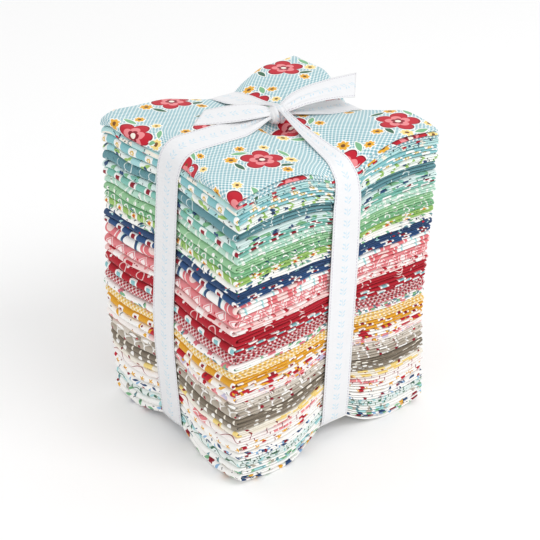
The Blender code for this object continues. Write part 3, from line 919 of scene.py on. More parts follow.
def bed_y(level):
    """Y of the middle of the lengthwise bed, at a level from 0 at the table to 1 on top."""
    return BED_Y_BOTTOM + (BED_Y_TOP - BED_Y_BOTTOM) * level


def skew(y, level):
    """Behind the knot the crosswise band runs at a slight slant over the top."""
    return np.where(y < 0, 0.0, SLANT_BACK) * y * level


def up_ramp(distance, ramp):
    """Share of the way from the edge of the flat bed to the far end of the ramp."""
    return np.clip((distance - BED_HALF) / (ramp - BED_HALF), 0.0, 1.0)


def rise(distance, ramp):
    """0 over the flat bed under the ribbon, easing up to 1 at the far end of the ramp."""
    return 1 - (1 - up_ramp(distance, ramp)) ** 2


def seat(distance, ramp):
    """1 over the flat bed under the ribbon, easing down to 0 at the far end of the ramp."""
    t = up_ramp(distance, ramp)
    return (1 - t * t) ** 2


def pressed(press, a, b, off_x, off_y):
    """How deep the two runs press the cloth: a cross of beds that meet in the middle."""
    end_x = np.where(a < 0, press.left, press.right)
    end_y = np.where(b < 0, press.front, press.back)
    along_x = press.centre + (end_x - press.centre) * np.abs(a) ** PRESS_POWER
    along_y = press.centre + (end_y - press.centre) * np.abs(b) ** PRESS_POWER
    both = (1 - off_x) * (1 - off_y) * press.centre
    return (1 - off_x) * along_y + (1 - off_y) * along_x - both


def corner_value(corners, x, y):
    """The value of the lobe that a point lies in."""
    return np.where(y < 0, np.where(x < 0, corners.near, corners.right),
                    np.where(x < 0, corners.left, corners.far))


def slack(a, b, off_x, off_y):
    """Share of the slack on the far lobe: none at its corner, most half way down its slopes."""
    down_a = np.sin(math.pi * np.clip((a - FAR_SLACK_FROM) / (1 - FAR_SLACK_FROM), 0, 1))
    down_b = np.sin(math.pi * np.clip((b - FAR_SLACK_FROM) / (1 - FAR_SLACK_FROM), 0, 1))
    return 1 - (1 - down_a * off_y * (b > 0)) * (1 - down_b * off_x * (a > 0))


def cornered(x, y, half_width, half_depth):
    """0 over a lobe, growing to 1 at its outer corner."""
    out_x = np.clip((np.abs(x) - DROOP_FROM[0]) / (half_width - DROOP_FROM[0]), 0, 1) ** DROOP_POWER
    out_y = np.clip((np.abs(y) - DROOP_FROM[1]) / (half_depth - DROOP_FROM[1]), 0, 1) ** DROOP_POWER
    return out_x * out_y


def near_edge(out, half, reach):
    """0 inside the plan, growing to 1 over the last reach to its edge."""
    return np.clip((np.abs(out) - half + reach) / reach, 0, 1)


def rounded(out, half, below_top, radius):
    """How far a point by a rounded upper edge moves in from the side, and down."""
    a = near_edge(out, half, radius)
    b = np.clip(1 - below_top / radius, 0, 1)
    return radius * a * (1 - np.sqrt(1 - b * b / 2)), radius * b * (1 - np.sqrt(1 - a * a / 2))


def half_plan():
    """Half the folded plan: the width is folded in three and the length in four."""
    settings = cut_settings()
    return settings.width / 6, settings.length / 8


def settle(x, y, z, slide):
    """Move points of the flat stack to where they lie in the tied one."""
    half_width, half_depth = half_plan()
    level = np.clip(z / STACK_HEIGHT, 0.0, 1.0)
    middle_x = bed_x(level)
    middle_y = bed_y(level)
    from_x = x - middle_x
    from_y = y - middle_y
    # From -1 to 1 between the edges with 0 on the bed, and how far up the ramps
    a = from_x / (half_width - np.sign(from_x) * middle_x)
    b = from_y / (half_depth - np.sign(from_y) * middle_y)
    off_x = rise(np.abs(from_x), RAMP_ALONG_X)
    off_y = rise(np.abs(from_y), RAMP_ALONG_Y)
    outer = cornered(x, y, half_width, half_depth)

    # What the top surface does
    crown = corner_value(LOBE_PUFF, a, b) * off_x * off_y - pressed(TOP_PRESS, a, b, off_x, off_y)
    crown = crown - corner_value(TOP_DROOP, x, y) * outer
    crown = crown - FAR_SLACK * slack(a, b, off_x, off_y)
    tilt = TILT_LEFT * (1 - off_y) * np.clip(-a * 2, 0, 1)
    crown = crown + tilt * (1 + np.clip(from_y / BED_HALF, -1, 1)) / 2
    by_corner = near_edge(x, half_width, ROLL_REACH) * near_edge(y, half_depth, ROLL_REACH)
    crown = crown - corner_value(CORNER_ROLL, x, y) * by_corner ** ROLL_POWER
    pit = np.exp(-((x - PIT_X) ** 2 + (y - PIT_Y) ** 2) / PIT_REACH ** 2)
    inside = np.clip((STACK_HEIGHT - z - TOP_LAYER) / TOP_LAYER_FADE, 0, 1)
    crown = crown - PIT_DEPTH * (1 + PIT_SLACK * inside) * pit * level ** PIT_POWER

    # What the bottom surface does
    lift = pressed(BOTTOM_LIFT, a, b, off_x, off_y) + corner_value(BOTTOM_CURL, x, y) * outer

    # What the sides do
    lean = LEAN_AT_ENDS - LEAN_DEPTH * np.exp(-0.5 * ((level - LEAN_LEVEL) / LEAN_SPREAD) ** 2)
    waist = WAIST + WAIST_TOP * level ** WAIST_POWER + WAIST_BOTTOM * (1 - level) ** WAIST_POWER
    edge_x = np.abs(x / half_width) ** EDGE_POWER
    edge_y = np.abs(y / half_depth) ** EDGE_POWER
    new_x = x + edge_x * (lean + slide[0] - np.sign(x) * waist * (1 - off_y))
    new_x = new_x + (1 - edge_x) * skew(y, level)
    new_y = y + edge_y * (slide[1] - np.sign(y) * waist * (1 - off_x))
    new_x = new_x + np.sign(x) * FLARE_X * edge_x * off_y ** FLARE_POWER
    new_y = new_y + np.sign(y) * FLARE_Y * edge_y * off_x ** FLARE_POWER
    new_z = z + crown * level ** FADE_POWER + lift * (1 - level) ** FADE_POWER

    # Rounded upper edges under the ribbon
    below = np.maximum(STACK_HEIGHT - z, 0)
    by_ribbon = seat(np.abs(from_y), RAMP_ALONG_Y)
    inward, down = rounded(x, half_width, below, np.where(x < 0, ROUND.left, ROUND.right))
    new_x = new_x - np.sign(x) * inward * by_ribbon
    new_z = new_z - down * by_ribbon
    by_ribbon = seat(np.abs(from_x), RAMP_ALONG_X)
    inward, down = rounded(y, half_depth, below, np.where(y < 0, ROUND.front, ROUND.back))
    new_y = new_y - np.sign(y) * inward * by_ribbon
    return new_x, new_y, new_z - down * by_ribbon


def ripple(t, chance, longest):
    """A smooth seeded wave along t, between about -1 and 1."""
    total = 0.0
    for share, size in WAVE_PARTS:
        span = longest * share * chance.uniform(0.85, 1.15)
        total = total + size * np.sin(2 * math.pi * (t / span + chance.uniform()))
    return total


def field(x, y, chance, longest):
    """A smooth seeded height over the plan, between about -1 and 1."""
    total = 0.0
    for size in FIELD_PARTS:
        angle = chance.uniform(0, math.pi)
        total = total + size * ripple(x * math.cos(angle) + y * math.sin(angle), chance, longest)
    return total


def boundary(index, x, y, size):
    """How far the surface between two cuts, or between two panels of one, waves up or down."""
    chance = np.random.default_rng(int(round(index * 10)) + SURFACE_SEED)
    half_width, half_depth = half_plan()
    out = np.maximum(np.abs(x) / half_width, np.abs(y) / half_depth)
    return size * np.clip(out, 0, 1) ** FADE_POWER * field(x, y, chance, WAVES["surface"])


Pleats = namedtuple("Pleats", "y depth run")
Folds = namedtuple("Folds", "x z inward_x inward_z run")


def spread(start, stop, middle, count):
    """Steps from start to stop, with one on each edge of the flat bed round the middle."""
    inside = max(1, count // 8)
    outside = (count - inside) // 2
    low, high = min(start, stop), max(start, stop)
    t = np.linspace(0, 1, outside + 1)
    t = t - 0.5 * np.sin(2 * math.pi * t) / (2 * math.pi)
    across = np.linspace(middle - BED_HALF, middle + BED_HALF, count - 2 * outside + 1)
    before = low + (across[0] - low) * t
    after = across[-1] + (high - across[-1]) * t
    line = np.concatenate([before, across[1:-1], after])
    return line if start < stop else line[::-1]


def level_of(number):
    """Level of the middle of one cut, from 0 at the table to 1 on top."""
    return (BOTTOMS[number] + CUTS[number].height / 2) / STACK_HEIGHT


def pack_of(number):
    """Height of one of a cut's three packs of four layers."""
    return (CUTS[number].height - cut_settings().gap) / 3


def turned(steps):
    """Angles round a fold, without its two ends."""
    return np.linspace(0, math.pi, steps + 1)[1:-1]


def distance_along(across, up, at):
    """Distance along the cloth's line, from the point at."""
    run = np.concatenate(([0.0], np.cumsum(np.hypot(np.diff(across), np.diff(up)))))
    return run - run[at]


def pleat_line(layer, counts, middle):
    """The cut's length, folded in four: Y, depth in the pack and distance along the cloth."""
    _, half_depth = half_plan()
    front = -half_depth + 2 * layer
    back = half_depth - layer
    free = half_depth - FREE_BACK
    turn = turned(counts["turn"])

    def run(start, stop, count, depth):
        return spread(start, stop, middle, count), np.full(count + 1, depth * layer)

    # The layers lie at half, one and a half, two and a half and three and a half layers' depth
    parts = [
        run(free, front, counts["inner"], 3.5),
        (front - 1.5 * layer * np.sin(turn), 2 * layer + 1.5 * layer * np.cos(turn)),
        run(front, back, counts["outer"], 0.5),
        (back + 0.5 * layer * np.sin(turn), 1.0 * layer - 0.5 * layer * np.cos(turn)),
        run(back, front, counts["inner"], 1.5),
        (front - 0.5 * layer * np.sin(turn), 2 * layer - 0.5 * layer * np.cos(turn)),
        run(front, free, counts["inner"], 2.5),
    ]
    y, depth = (np.concatenate(part) for part in zip(*parts))
    at_front = counts["inner"] + 1 + (counts["turn"] - 1) // 2
    return Pleats(y, depth, distance_along(y, depth, at_front))


def fold_line(pack, counts, middle):
    """The pack's width, folded in three: the outer line, the way in from it, and the distance."""
    half_width, _ = half_plan()
    right = half_width - pack
    left = -half_width + 1.5 * pack
    turn = turned(counts["turn"])
    sine, cosine = np.sin(turn), np.cos(turn)

    def panel(start, stop, count, height, inward):
        line = spread(start, stop, middle, count)
        flat = np.ones(len(line))
        return line, height * flat, 0 * flat, inward * flat

    # The middle panel, the right fold, the lower panel, the left fold and the upper panel
    parts = [
        panel(left + 0.1 * pack, right, counts["middle"], 2 * pack, -1),
        (right + pack * sine, pack + pack * cosine, -sine, -cosine),
        panel(right, left, counts["lower"], 0, 1),
        (left - 1.5 * pack * sine, 1.5 * pack - 1.5 * pack * cosine, sine, cosine),
        panel(left, half_width - FREE_RIGHT, counts["upper"], 3 * pack, -1),
    ]
    x, z, inward_x, inward_z = (np.concatenate(part) for part in zip(*parts))
    at_left = sum(len(part[0]) for part in parts[:3]) + (counts["turn"] - 1) // 2
    return Folds(x, z, inward_x, inward_z, distance_along(x, z, at_left))


def cut_points(number, pleats, folds):
    """Where the points of one cut lie in the tied stack: arrays of folds by pleats."""
    settings = cut_settings()
    height = CUTS[number].height
    chance = np.random.default_rng(number + FOLD_SEED)
    body = height - settings.gap
    half_width, half_depth = half_plan()
    # The packs thin towards their folded edges, which opens a gap between them
    pinch = settings.pinch * (1 + PINCH_VARIES * ripple(folds.run, chance, WAVES["pinch"]))
    by_edge = near_edge(pleats.y, half_depth, PINCH_REACH) ** 2
    middle = body / 6
    phase = 2 * math.pi * np.clip(pleats.depth / (body / 3), 0, 1)
    uneven = settings.uneven * body / 3 * ripple(folds.run, chance, WAVES["depth"])
    depth = pleats.depth[None, :] + uneven[:, None] * np.sin(phase)[None, :] * by_edge[None, :]
    depth = middle + (depth - middle) * (1 - pinch[:, None] * by_edge[None, :])
    x = folds.x[:, None] + folds.inward_x[:, None] * depth
    z = folds.z[:, None] + folds.inward_z[:, None] * depth
    y = np.broadcast_to(pleats.y[None, :], x.shape)
    # Slip and wobble of the folds, which follow the cloth round from panel to panel
    slip = chance.uniform(-1, 1, 3) * settings.panel_slip
    third = np.clip((folds.run - folds.run[0]) / (folds.run[-1] - folds.run[0]), 0, 1) * 3
    slips = np.interp(third, (0.9, 1.1, 1.9, 2.1), (slip[0], slip[1], slip[1], slip[2]))
    wander_front = slips + settings.fold_wobble * ripple(folds.run, chance, WAVES["front"])
    wander_back = -slips + settings.fold_wobble * ripple(folds.run, chance, WAVES["back"])
    edge_y = np.abs(y / half_depth) ** WANDER_POWER
    y = y + edge_y * np.where(y < 0, wander_front[:, None], wander_back[:, None])
    edge_x = np.abs(np.clip(x / half_width, -1, 1)) ** WANDER_POWER
    side = np.where(x < 0, ripple(y, chance, WAVES["left"]), ripple(y, chance, WAVES["right"]))
    x = x + edge_x * settings.fold_wobble * SIDE_WANDER * side
    # Round the plan's corners a little
    near = near_edge(x, half_width, PLAN_ROUND_REACH) * near_edge(y, half_depth, PLAN_ROUND_REACH)
    x = x - np.sign(x) * PLAN_ROUND * near ** 2
    y = y - np.sign(y) * PLAN_ROUND * near ** 2
    # The surfaces between panels and between cuts wave up and down, the same for both sides, but
    # the lowest one lies flat
    share = np.clip(z / body, 0, 1) * 3
    between_cuts = settings.swell * SURFACE_HEIGHT
    between_panels = settings.swell * height * PANEL_SHARE
    waves = ((0, between_cuts if number else 0.0), (0.3, between_panels), (0.6, between_panels),
             (1, between_cuts))
    stacked = np.stack([boundary(number + part, x, y, size) for part, size in waves])
    low = np.floor(np.clip(share, 0, 2.999)).astype(int)
    t = share - low
    rows, columns = np.indices(x.shape)
    wave = stacked[low, rows, columns] * (1 - t) + stacked[low + 1, rows, columns] * t
    z = z + BOTTOMS[number] + settings.gap / 2 + wave
    slide = chance.uniform(-SLIDE, SLIDE, 2)
    x, y, z = settle(x, y, z, slide)
    return x - MIDDLE_X, y, z


def detail(number):
    """How many steps each part of a cut has: more where its surface shows."""
    top = number == len(CUTS) - 1
    bottom = number == 0
    near_end = number < 2 or number > len(CUTS) - 6
    pleats = {"inner": 13 if near_end else 7, "outer": 64 if top else 40 if bottom else 26, "turn": 6}
    folds = {"middle": 18, "lower": 48 if bottom else 22, "upper": 72 if top else 22, "turn": 10}
    return pleats, folds


def put(name, data):
    """A new object in the scene."""
    item = bpy.data.objects.new(name, data)
    bpy.context.scene.collection.objects.link(item)
    return item


def sheet_object(name, columns, rows, points, flat, material):
    """A grid with its points and its flat layout set, from arrays of rows by columns."""
    bm = bmesh.new()
    bmesh.ops.create_grid(bm, x_segments=columns - 1, y_segments=rows - 1, size=1)
    mesh = bpy.data.meshes.new(name)
    bm.to_mesh(mesh)
    bm.free()
    co = np.empty(len(mesh.vertices) * 3, np.float32)
    mesh.vertices.foreach_get("co", co)
    co = co.reshape(-1, 3)
    column = np.rint((co[:, 0] + 1) / 2 * (columns - 1)).astype(int)
    row = np.rint((co[:, 1] + 1) / 2 * (rows - 1)).astype(int)
    placed = np.stack([p[row, column] for p in points], axis=1)
    mesh.vertices.foreach_set("co", placed.astype(np.float32).ravel())
    layer = mesh.uv_layers.new(name="FlatCloth")
    corner = np.empty(len(mesh.loops), np.int32)
    mesh.loops.foreach_get("vertex_index", corner)
    laid = np.stack([f[row, column] for f in flat], axis=1)[corner]
    layer.data.foreach_set("uv", laid.astype(np.float32).ravel())
    mesh.polygons.foreach_set("use_smooth", np.ones(len(mesh.polygons), bool))
    mesh.materials.append(material)
    mesh.update()
    return put(name, mesh)


def add_thickness(item, thickness):
    """Give a sheet its cloth's thickness, half to each side."""
    shell = item.modifiers.new("Thickness", "SOLIDIFY")
    shell.thickness = thickness
    shell.offset = 0.0
    shell.use_even_offset = False
    shell.use_rim = True


def join_ends(item, outward=False):
    """Merge the two ends of a closed band, keep its flat layout, and turn its faces outward."""
    bm = bmesh.new()
    bm.from_mesh(item.data)
    bmesh.ops.remove_doubles(bm, verts=list(bm.verts), dist=0.00001)
    if outward:
        bmesh.ops.recalc_face_normals(bm, faces=list(bm.faces))
    bm.to_mesh(item.data)
    bm.free()
    item.data.update()


def build_cut(number):
    """Fold one cut and lay it in the tied stack, on the cut below it or on the table."""
    node, piece, slot, _ = CUTS[number]
    settings = cut_settings()
    pack = pack_of(number)
    pleat_counts, fold_counts = detail(number)
    pleats = pleat_line(pack / 4, pleat_counts, bed_y(level_of(number)))
    folds = fold_line(pack, fold_counts, bed_x(level_of(number)))
    points = cut_points(number, pleats, folds)
    shape = points[0].shape
    # The print lies a little off the grain, more along the cloth than across it
    chance = np.random.default_rng(number + PRINT_SEED)
    off_along = settings.off_grain * ripple(folds.run, chance, WAVES["along"])
    off_across = 0.3 * settings.off_grain * ripple(pleats.run, chance, WAVES["across"])
    along = pleats.run[None, :] + off_along[:, None]
    across = folds.run[:, None] + off_across[None, :]
    flat = (np.broadcast_to(along, shape), np.broadcast_to(across, shape))
    item = sheet_object(piece, shape[1], shape[0], points, flat, cotton_material(slot))
    add_thickness(item, settings.thickness)
    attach(item, "root")
    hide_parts(node)


# ---------------------------------------------------------------- ribbon

TURNS = np.linspace(0, 2 * math.pi, 720, endpoint=False)
GATHER_REACH = {"left": 0.032, "right": 0.036, "front": 0.088, "back": 0.040}
RIBBON_COLUMNS = 25
KNOT_X = BED_X_TOP - MIDDLE_X
KNOT_Y = BED_Y_TOP
KNOT_HALF = 0.005

# The shape of each run is measured along this many lines, and laid in steps of about 3 mm
RIBBON_LINES = 9
RIBBON_STEP = 0.0028

# A spoke stops at a side of the taut line only where it isn't nearly level with that side
STEEPEST = 0.05
FAR_AWAY = 1e9

# Near the knot a run is gathered on top of the stack only, in small pleats
ON_TOP_FROM = 0.85
ON_TOP_FADE = 0.08
CROWDED_AT = 0.75
Waving = namedtuple("Waving", "height turns start")
BAND_PLEATS = Waving(height=0.0013, turns=3, start=0.6)
TAIL_PLEATS = Waving(height=0.0017, turns=3.2, start=0.8)

# The knot is turned, sinks this far into the pit, and fills this share of the solid's box
KNOT_TURN = math.radians(-15)
KNOT_SINK = 0.0014
KNOT_FILL = (0.98, 1.14, 0.98)
KNOT_FOLDS = 5.2
KNOT_SQUARE = 2.4
KNOT_ENDS = 5


def taut_profile(points, clearance, centre, spokes):
    """Distance from the centre, along each spoke, of the taut line round the points."""
    away = points - centre
    support = np.empty(len(TURNS))
    for step, angle in enumerate(TURNS):
        support[step] = (away[:, 0] * math.cos(angle) + away[:, 1] * math.sin(angle)).max()
    support = support + clearance
    facing = np.cos(TURNS[:, None] - spokes[None, :])
    reach = np.where(facing > STEEPEST, support[:, None] / np.maximum(facing, STEEPEST), FAR_AWAY)
    return reach.min(axis=0)


def even_spokes(points, clearance, centre, spacing):
    """Angles of spokes that meet the taut line at even distances, from straight down round."""
    fine = np.linspace(-math.pi / 2, 1.5 * math.pi, 2400)
    reach = taut_profile(points, clearance, centre, fine)
    x = reach * np.cos(fine)
    y = reach * np.sin(fine)
    run = np.concatenate(([0.0], np.cumsum(np.hypot(np.diff(x), np.diff(y)))))
    count = int(run[-1] / spacing)
    return np.interp(np.linspace(0, run[-1], count + 1), run, fine), run[-1]


def gather(distance, reach):
    """Share of the ribbon's full width at a distance from the knot."""
    settings = ribbon_settings()
    least = settings.gathered / settings.width
    t = np.clip((distance - KNOT_HALF) / (reach - KNOT_HALF), 0, 1)
    return least + (1 - least) * (0.75 * t + 0.25 * t * t * (3 - 2 * t))


def cloth_under(across, lengthwise):
    """Points of every cut under one line along a band, in that band's own plane."""
    found = []
    for number in range(len(CUTS)):
        pack = pack_of(number)
        level = level_of(number)
        pleat_counts, fold_counts = detail(number)
        if lengthwise:
            ys = np.array([bed_y(level) + across])
            pleats = Pleats(ys, np.full(1, pack / 8), np.zeros(1))
            folds = fold_line(pack, {**fold_counts, "upper": 40, "lower": 40}, bed_x(level))
            x, y, z = cut_points(number, pleats, folds)
            found.append(np.stack([x.ravel(), z.ravel()], axis=1))
        else:
            pleats = pleat_line(pack / 4, {**pleat_counts, "outer": 48}, bed_y(level))
            finer = {**fold_counts, "middle": 40, "upper": 80, "lower": 80}
            full = fold_line(pack, finer, bed_x(level))
            wanted = bed_x(level) + across
            picked = []
            for low in (0.0, 3 * pack, 2 * pack):
                on_panel = np.flatnonzero(np.isclose(full.z, low) & (full.inward_x == 0))
                picked.append(on_panel[np.argmin(np.abs(full.x[on_panel] - wanted))])
            folds = Folds(*(part[picked] for part in full))
            folds = folds._replace(x=np.full(3, wanted))
            x, y, z = cut_points(number, pleats, folds)
            found.append(np.stack([y.ravel(), z.ravel()], axis=1))
    return np.concatenate(found)


def build_band(name, node, lengthwise, over, material):
    """Lay a taut band round the stack, outside the points over, and return its own points."""
    settings = ribbon_settings()
    half = settings.width / 2
    fractions = np.linspace(-1, 1, RIBBON_COLUMNS)
    coarse = np.linspace(-1, 1, RIBBON_LINES)
    toward = 1 if lengthwise else -1
    lines = [cloth_under(f * half * toward, lengthwise) for f in coarse]
    centre = np.array([KNOT_X if lengthwise else KNOT_Y, STACK_HEIGHT * 0.5])
    everything = np.concatenate(lines + ([over] if over is not None else []))
    spokes, round_length = even_spokes(everything, settings.clearance, centre, RIBBON_STEP)
    profiles = []
    for line in lines:
        points = line if over is None else np.concatenate([line, over])
        profiles.append(taut_profile(points, settings.clearance, centre, spokes))
    profiles = np.stack(profiles)
    reach = np.stack([
        [np.interp(f, coarse, profiles[:, k]) for k in range(len(spokes))] for f in fractions])
    plane = centre[0] + reach * np.cos(spokes)
    z = centre[1] + reach * np.sin(spokes)
    level = np.clip(z / STACK_HEIGHT, 0, 1)
    away = plane - centre[0]
    before, after = ("left", "right") if lengthwise else ("front", "back")
    shares = np.where(
        away < 0, gather(-away, GATHER_REACH[before]), gather(away, GATHER_REACH[after]))
    on_top = np.clip((level - ON_TOP_FROM) / ON_TOP_FADE, 0, 1)
    shares = 1 - (1 - shares) * on_top
    crowded = np.clip((1 - shares) / CROWDED_AT, 0, 1)
    pleat = 0.5 - 0.5 * np.cos(
        fractions[:, None] * math.pi * BAND_PLEATS.turns + BAND_PLEATS.start)
    z = z + on_top * crowded * BAND_PLEATS.height * pleat
    z = z + on_top * KNOT_RISE * np.exp(-(away / KNOT_RISE_REACH) ** 2)
    across = fractions[:, None] * half * shares
    if lengthwise:
        x, y = plane, bed_y(level) + across
    else:
        x, y = bed_x(level) + skew(plane, level) + toward * across - MIDDLE_X, plane
    run = np.linspace(0, round_length, len(spokes))
    flat = (np.broadcast_to(run[None, :], x.shape),
            np.broadcast_to((fractions * half)[:, None], x.shape))
    x[:, -1], y[:, -1], z[:, -1] = x[:, 0], y[:, 0], z[:, 0]
    item = sheet_object(name, len(spokes), RIBBON_COLUMNS, (x, y, z), flat, material)
    join_ends(item)
    add_thickness(item, settings.thickness)
    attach(item, "root")
    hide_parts(node)
    return np.stack([(y if lengthwise else x).ravel(), z.ravel()], axis=1)


# Rows of a tail from the knot out: reach, width, height over the knot's middle, twist, end cut
TailRow = namedtuple("TailRow", "reach width rise twist cut")
TAILS = {
    "left": (math.radians(148), (
        TailRow(0.0035, 0.0080, 0.0004, -0.0006, 0.000),
        TailRow(0.0080, 0.0140, 0.0012, -0.0016, 0.000),
        TailRow(0.0150, 0.0190, 0.0014, -0.0026, 0.000),
        TailRow(0.0260, 0.0212, 0.0004, -0.0026, 0.000),
        TailRow(0.0370, 0.0213, -0.0006, -0.0022, 0.003),
        TailRow(0.0478, 0.0213, -0.0014, -0.0012, 0.009),
    )),
    "right": (math.radians(2.5), (
        TailRow(0.0035, 0.0070, 0.0006, 0.0000, 0.000),
        TailRow(0.0090, 0.0125, 0.0026, 0.0010, 0.000),
        TailRow(0.0180, 0.0165, 0.0044, 0.0022, 0.001),
        TailRow(0.0320, 0.0192, 0.0046, 0.0036, 0.004),
        TailRow(0.0480, 0.0205, 0.0034, 0.0044, 0.011),
        TailRow(0.0660, 0.0213, 0.0012, 0.0050, 0.022),
    )),
}


def smooth_rows(rows, count):
    """Rows read off smooth curves through the given ones."""
    table = np.array(rows)
    places = np.arange(len(rows), dtype=float)
    fine = np.linspace(0, len(rows) - 1, count * 4)
    values = np.stack([np.interp(fine, places, table[:, k]) for k in range(table.shape[1])])
    window = np.hanning(count * 4 // (len(rows) - 1) + 3)
    window = window / window.sum()
    pad = len(window) // 2
    smoothed = []
    for line in values:
        step0 = line[1] - line[0]
        step1 = line[-1] - line[-2]
        before = line[0] - step0 * np.arange(pad, 0, -1)
        after = line[-1] + step1 * np.arange(1, pad + 1)
        smoothed.append(np.convolve(np.concatenate([before, line, after]), window, "valid")[:len(line)])
    picked = np.linspace(0, len(fine) - 1, count).round().astype(int)
    return [line[picked] for line in smoothed]


def build_tail(side, node, material):
    """A free end of the ribbon, pleated where it leaves the knot and cut at a slant."""
    settings = ribbon_settings()
    heading, rows = TAILS[side]
    knot_low, knot_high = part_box("ribbon_knot")
    middle = (knot_low.z + knot_high.z) / 2
    count = 41
    reach, width, rise_up, twist, cut = smooth_rows(rows, count)
    fractions = np.linspace(-1, 1, RIBBON_COLUMNS)[:, None]
    share = np.clip(width / settings.width, 0, 1)
    along = reach + cut * fractions / 2
    across = fractions * width / 2
    x = KNOT_X + math.cos(heading) * along - math.sin(heading) * across
    y = KNOT_Y + math.sin(heading) * along + math.cos(heading) * across
    pleat = np.cos(fractions * math.pi * TAIL_PLEATS.turns + TAIL_PLEATS.start)
    z = middle + rise_up + twist * fractions / 2 + (1 - share) * TAIL_PLEATS.height * pleat
    run = np.concatenate(([0.0], np.cumsum(np.diff(reach))))
    flat = (np.broadcast_to(run[None, :], x.shape) + cut * fractions / 2,
            np.broadcast_to(fractions * settings.width / 2, x.shape))
    item = sheet_object("ribbon_end_" + side, count, RIBBON_COLUMNS, (x, y, z), flat, material)
    add_thickness(item, settings.thickness)
    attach(item, "root")
    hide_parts(node)


def build_knot(material):
    """The knot: a gathered wrap of ribbon, rounded over and pinched at its sides."""
    low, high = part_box("ribbon_knot")
    centre = (low + high) / 2
    size = (high - low) / 2
    around, along = 73, 49
    turn = np.linspace(0, 2 * math.pi, around)[None, :]
    t = np.linspace(-1, 1, along)[:, None]
    barrel = np.sqrt(np.clip(1 - np.abs(t) ** KNOT_ENDS, 0, 1))
    folds = np.abs(np.sin(t * KNOT_FOLDS + 0.9 * np.sin(turn + 0.4) + 0.35))
    radius = barrel * (0.86 + 0.14 * folds) * (1 + 0.05 * np.sin(2 * turn + 1.0))
    square = 1 / (np.abs(np.cos(turn)) ** KNOT_SQUARE + np.abs(np.sin(turn)) ** KNOT_SQUARE) ** (
        1 / KNOT_SQUARE)
    ahead = size.x * KNOT_FILL[0] * t + 0.0010 * np.sin(turn + 0.5) * barrel
    aside = size.y * KNOT_FILL[1] * radius * np.cos(turn) * square
    x = centre.x + math.cos(KNOT_TURN) * ahead - math.sin(KNOT_TURN) * aside
    y = centre.y + math.sin(KNOT_TURN) * ahead + math.cos(KNOT_TURN) * aside
    z = centre.z - KNOT_SINK + (size.z * KNOT_FILL[2] + KNOT_SINK) * radius * np.sin(turn) * square
    flat = (np.broadcast_to(turn * 0.005, x.shape), np.broadcast_to(t * 0.006, x.shape))
    item = sheet_object("ribbon_knot_wrap", around, along, (x, y, z), flat, material)
    join_ends(item, outward=True)
    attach(item, "root")
    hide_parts("ribbon_knot")


# ---------------------------------------------------------------- stage

CAMERA_AZIMUTH = math.radians(-38.65)
CAMERA_ELEVATION = math.radians(28.76)
CAMERA_RIGHT = 0.0020
CAMERA_UP = 0.0843
CAMERA_BACK = 0.8796


def build_floor():
    """A wide white floor."""
    settings = stage_settings()
    bm = bmesh.new()
    bmesh.ops.create_grid(bm, x_segments=2, y_segments=2, size=6)
    mesh = bpy.data.meshes.new("floor")
    bm.to_mesh(mesh)
    bm.free()
    mesh.materials.append(new_material("floor_paper", {
        "Base Color": (*settings.floor_color, 1.0), "Roughness": 0.9, "Specular IOR Level": 0.1}))
    floor = put("floor", mesh)


def add_light(name, place, aim, size, power):
    """A round soft light that shines at its aim."""
    data = bpy.data.lights.new(name, "AREA")
    data.shape = "DISK"
    data.size = size
    data.energy = power
    lamp = put(name, data)
    back = np.array(place) - np.array(aim)
    lamp.location = place
    lamp.rotation_euler = look_matrix(back).to_euler()


def look_matrix(back):
    """Rotation of something that looks along the opposite of back, with Z up."""
    back = back / np.linalg.norm(back)
    right = np.cross((0.0, 0.0, 1.0), back)
    right = right / np.linalg.norm(right)
    up = np.cross(back, right)
    return Matrix(np.stack([right, up, back], axis=1).tolist())


def build_lights():
    """Even light from all round and one soft light above the front."""
    settings = stage_settings()
    world = bpy.data.worlds.new("surround")
    world.use_nodes = True
    world.node_tree.nodes["Background"].inputs["Color"].default_value = (1.0, 1.0, 1.0, 1.0)
    world.node_tree.nodes["Background"].inputs["Strength"].default_value = settings.sky
    bpy.context.scene.world = world
    add_light("key", place=(0.30, -1.10, 1.35), aim=(0.0, 0.0, 0.1), size=0.8, power=8.0)
    bpy.context.scene.view_settings.view_transform = "Standard"


def build_camera():
    """The camera as fitted to the photo: how far it is turned, raised, shifted and away."""
    settings = stage_settings()
    data = bpy.data.cameras.new("camera")
    data.lens = settings.lens
    data.sensor_width = 36.0
    data.clip_start = 0.01
    camera = put("camera", data)
    azimuth = CAMERA_AZIMUTH
    elevation = CAMERA_ELEVATION
    back = np.array((math.sin(azimuth) * math.cos(elevation), -math.cos(azimuth) * math.cos(elevation),
                     math.sin(elevation)))
    turn = look_matrix(back)
    right, up, _ = (np.array(turn.col[k]) for k in range(3))
    place = CAMERA_RIGHT * right + CAMERA_UP * up + CAMERA_BACK * back
    camera.location = (place[0] - MIDDLE_X, place[1], place[2])
    camera.rotation_euler = turn.to_euler()
    bpy.context.scene.camera = camera


# ---------------------------------------------------------------- operators


class BUNDLE_OT_cuts(bpy.types.Operator):
    """Fold and stack the printed cotton cuts"""

    bl_idname = "bundle.cuts"
    bl_label = "Folded Cuts"

    def execute(self, context):
        for number in range(len(CUTS)):
            build_cut(number)
        return {"FINISHED"}


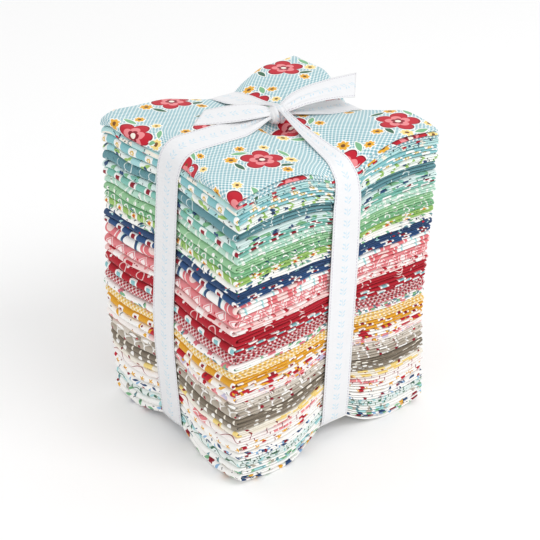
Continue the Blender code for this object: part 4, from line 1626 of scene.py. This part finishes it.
class BUNDLE_OT_ribbon(bpy.types.Operator):
    """Tie the ribbon round the stack both ways, with its knot and two free ends"""

    bl_idname = "bundle.ribbon"
    bl_label = "Ribbon"

    def execute(self, context):
        material = ribbon_material()
        inner = build_band("ribbon_lengthwise", "ribbon_band_lengthwise", True, None, material)
        build_band("ribbon_crosswise", "ribbon_band_crosswise", False, inner, material)
        build_knot(material)
        build_tail("left", "ribbon_tail_left", material)
        build_tail("right", "ribbon_tail_right", material)
        return {"FINISHED"}


class BUNDLE_OT_stage(bpy.types.Operator):
    """Add the floor, the soft lights and the camera"""

    bl_idname = "bundle.stage"
    bl_label = "Stage"

    def execute(self, context):
        build_floor()
        build_lights()
        build_camera()
        return {"FINISHED"}


class BUNDLE_PT_panel(bpy.types.Panel):
    """Sizes, colours and steps of the bundle"""

    bl_idname = "BUNDLE_PT_panel"
    bl_label = "Fat Quarter Bundle"
    bl_space_type = "VIEW_3D"
    bl_region_type = "UI"
    bl_category = "Bundle"

    def draw(self, context):
        layout = self.layout
        scene = context.scene
        for title, settings, operator in (
            ("Cuts", scene.bundle_cuts, "bundle.cuts"),
            ("Ribbon", scene.bundle_ribbon, "bundle.ribbon"),
            ("Stage", scene.bundle_stage, "bundle.stage"),
        ):
            box = layout.box()
            box.label(text=title)
            for name in settings.__annotations__:
                box.prop(settings, name)
            box.operator(operator)


CLASSES = (
    CutSettings, RibbonSettings, StageSettings, BUNDLE_OT_cuts, BUNDLE_OT_ribbon, BUNDLE_OT_stage,
    BUNDLE_PT_panel,
)


def register():
    for cls in CLASSES:
        bpy.utils.register_class(cls)
    bpy.types.Scene.bundle_cuts = bpy.props.PointerProperty(type=CutSettings)
    bpy.types.Scene.bundle_ribbon = bpy.props.PointerProperty(type=RibbonSettings)
    bpy.types.Scene.bundle_stage = bpy.props.PointerProperty(type=StageSettings)


def unregister():
    del bpy.types.Scene.bundle_stage
    del bpy.types.Scene.bundle_ribbon
    del bpy.types.Scene.bundle_cuts
    for cls in reversed(CLASSES):
        bpy.utils.unregister_class(cls)


def main():
    """Build the bundle and its stage."""
    register()
    make_node_groups()
    bpy.ops.bundle.cuts()
    bpy.ops.bundle.ribbon()
    bpy.ops.bundle.stage()


if __name__ == "__main__":
    main()
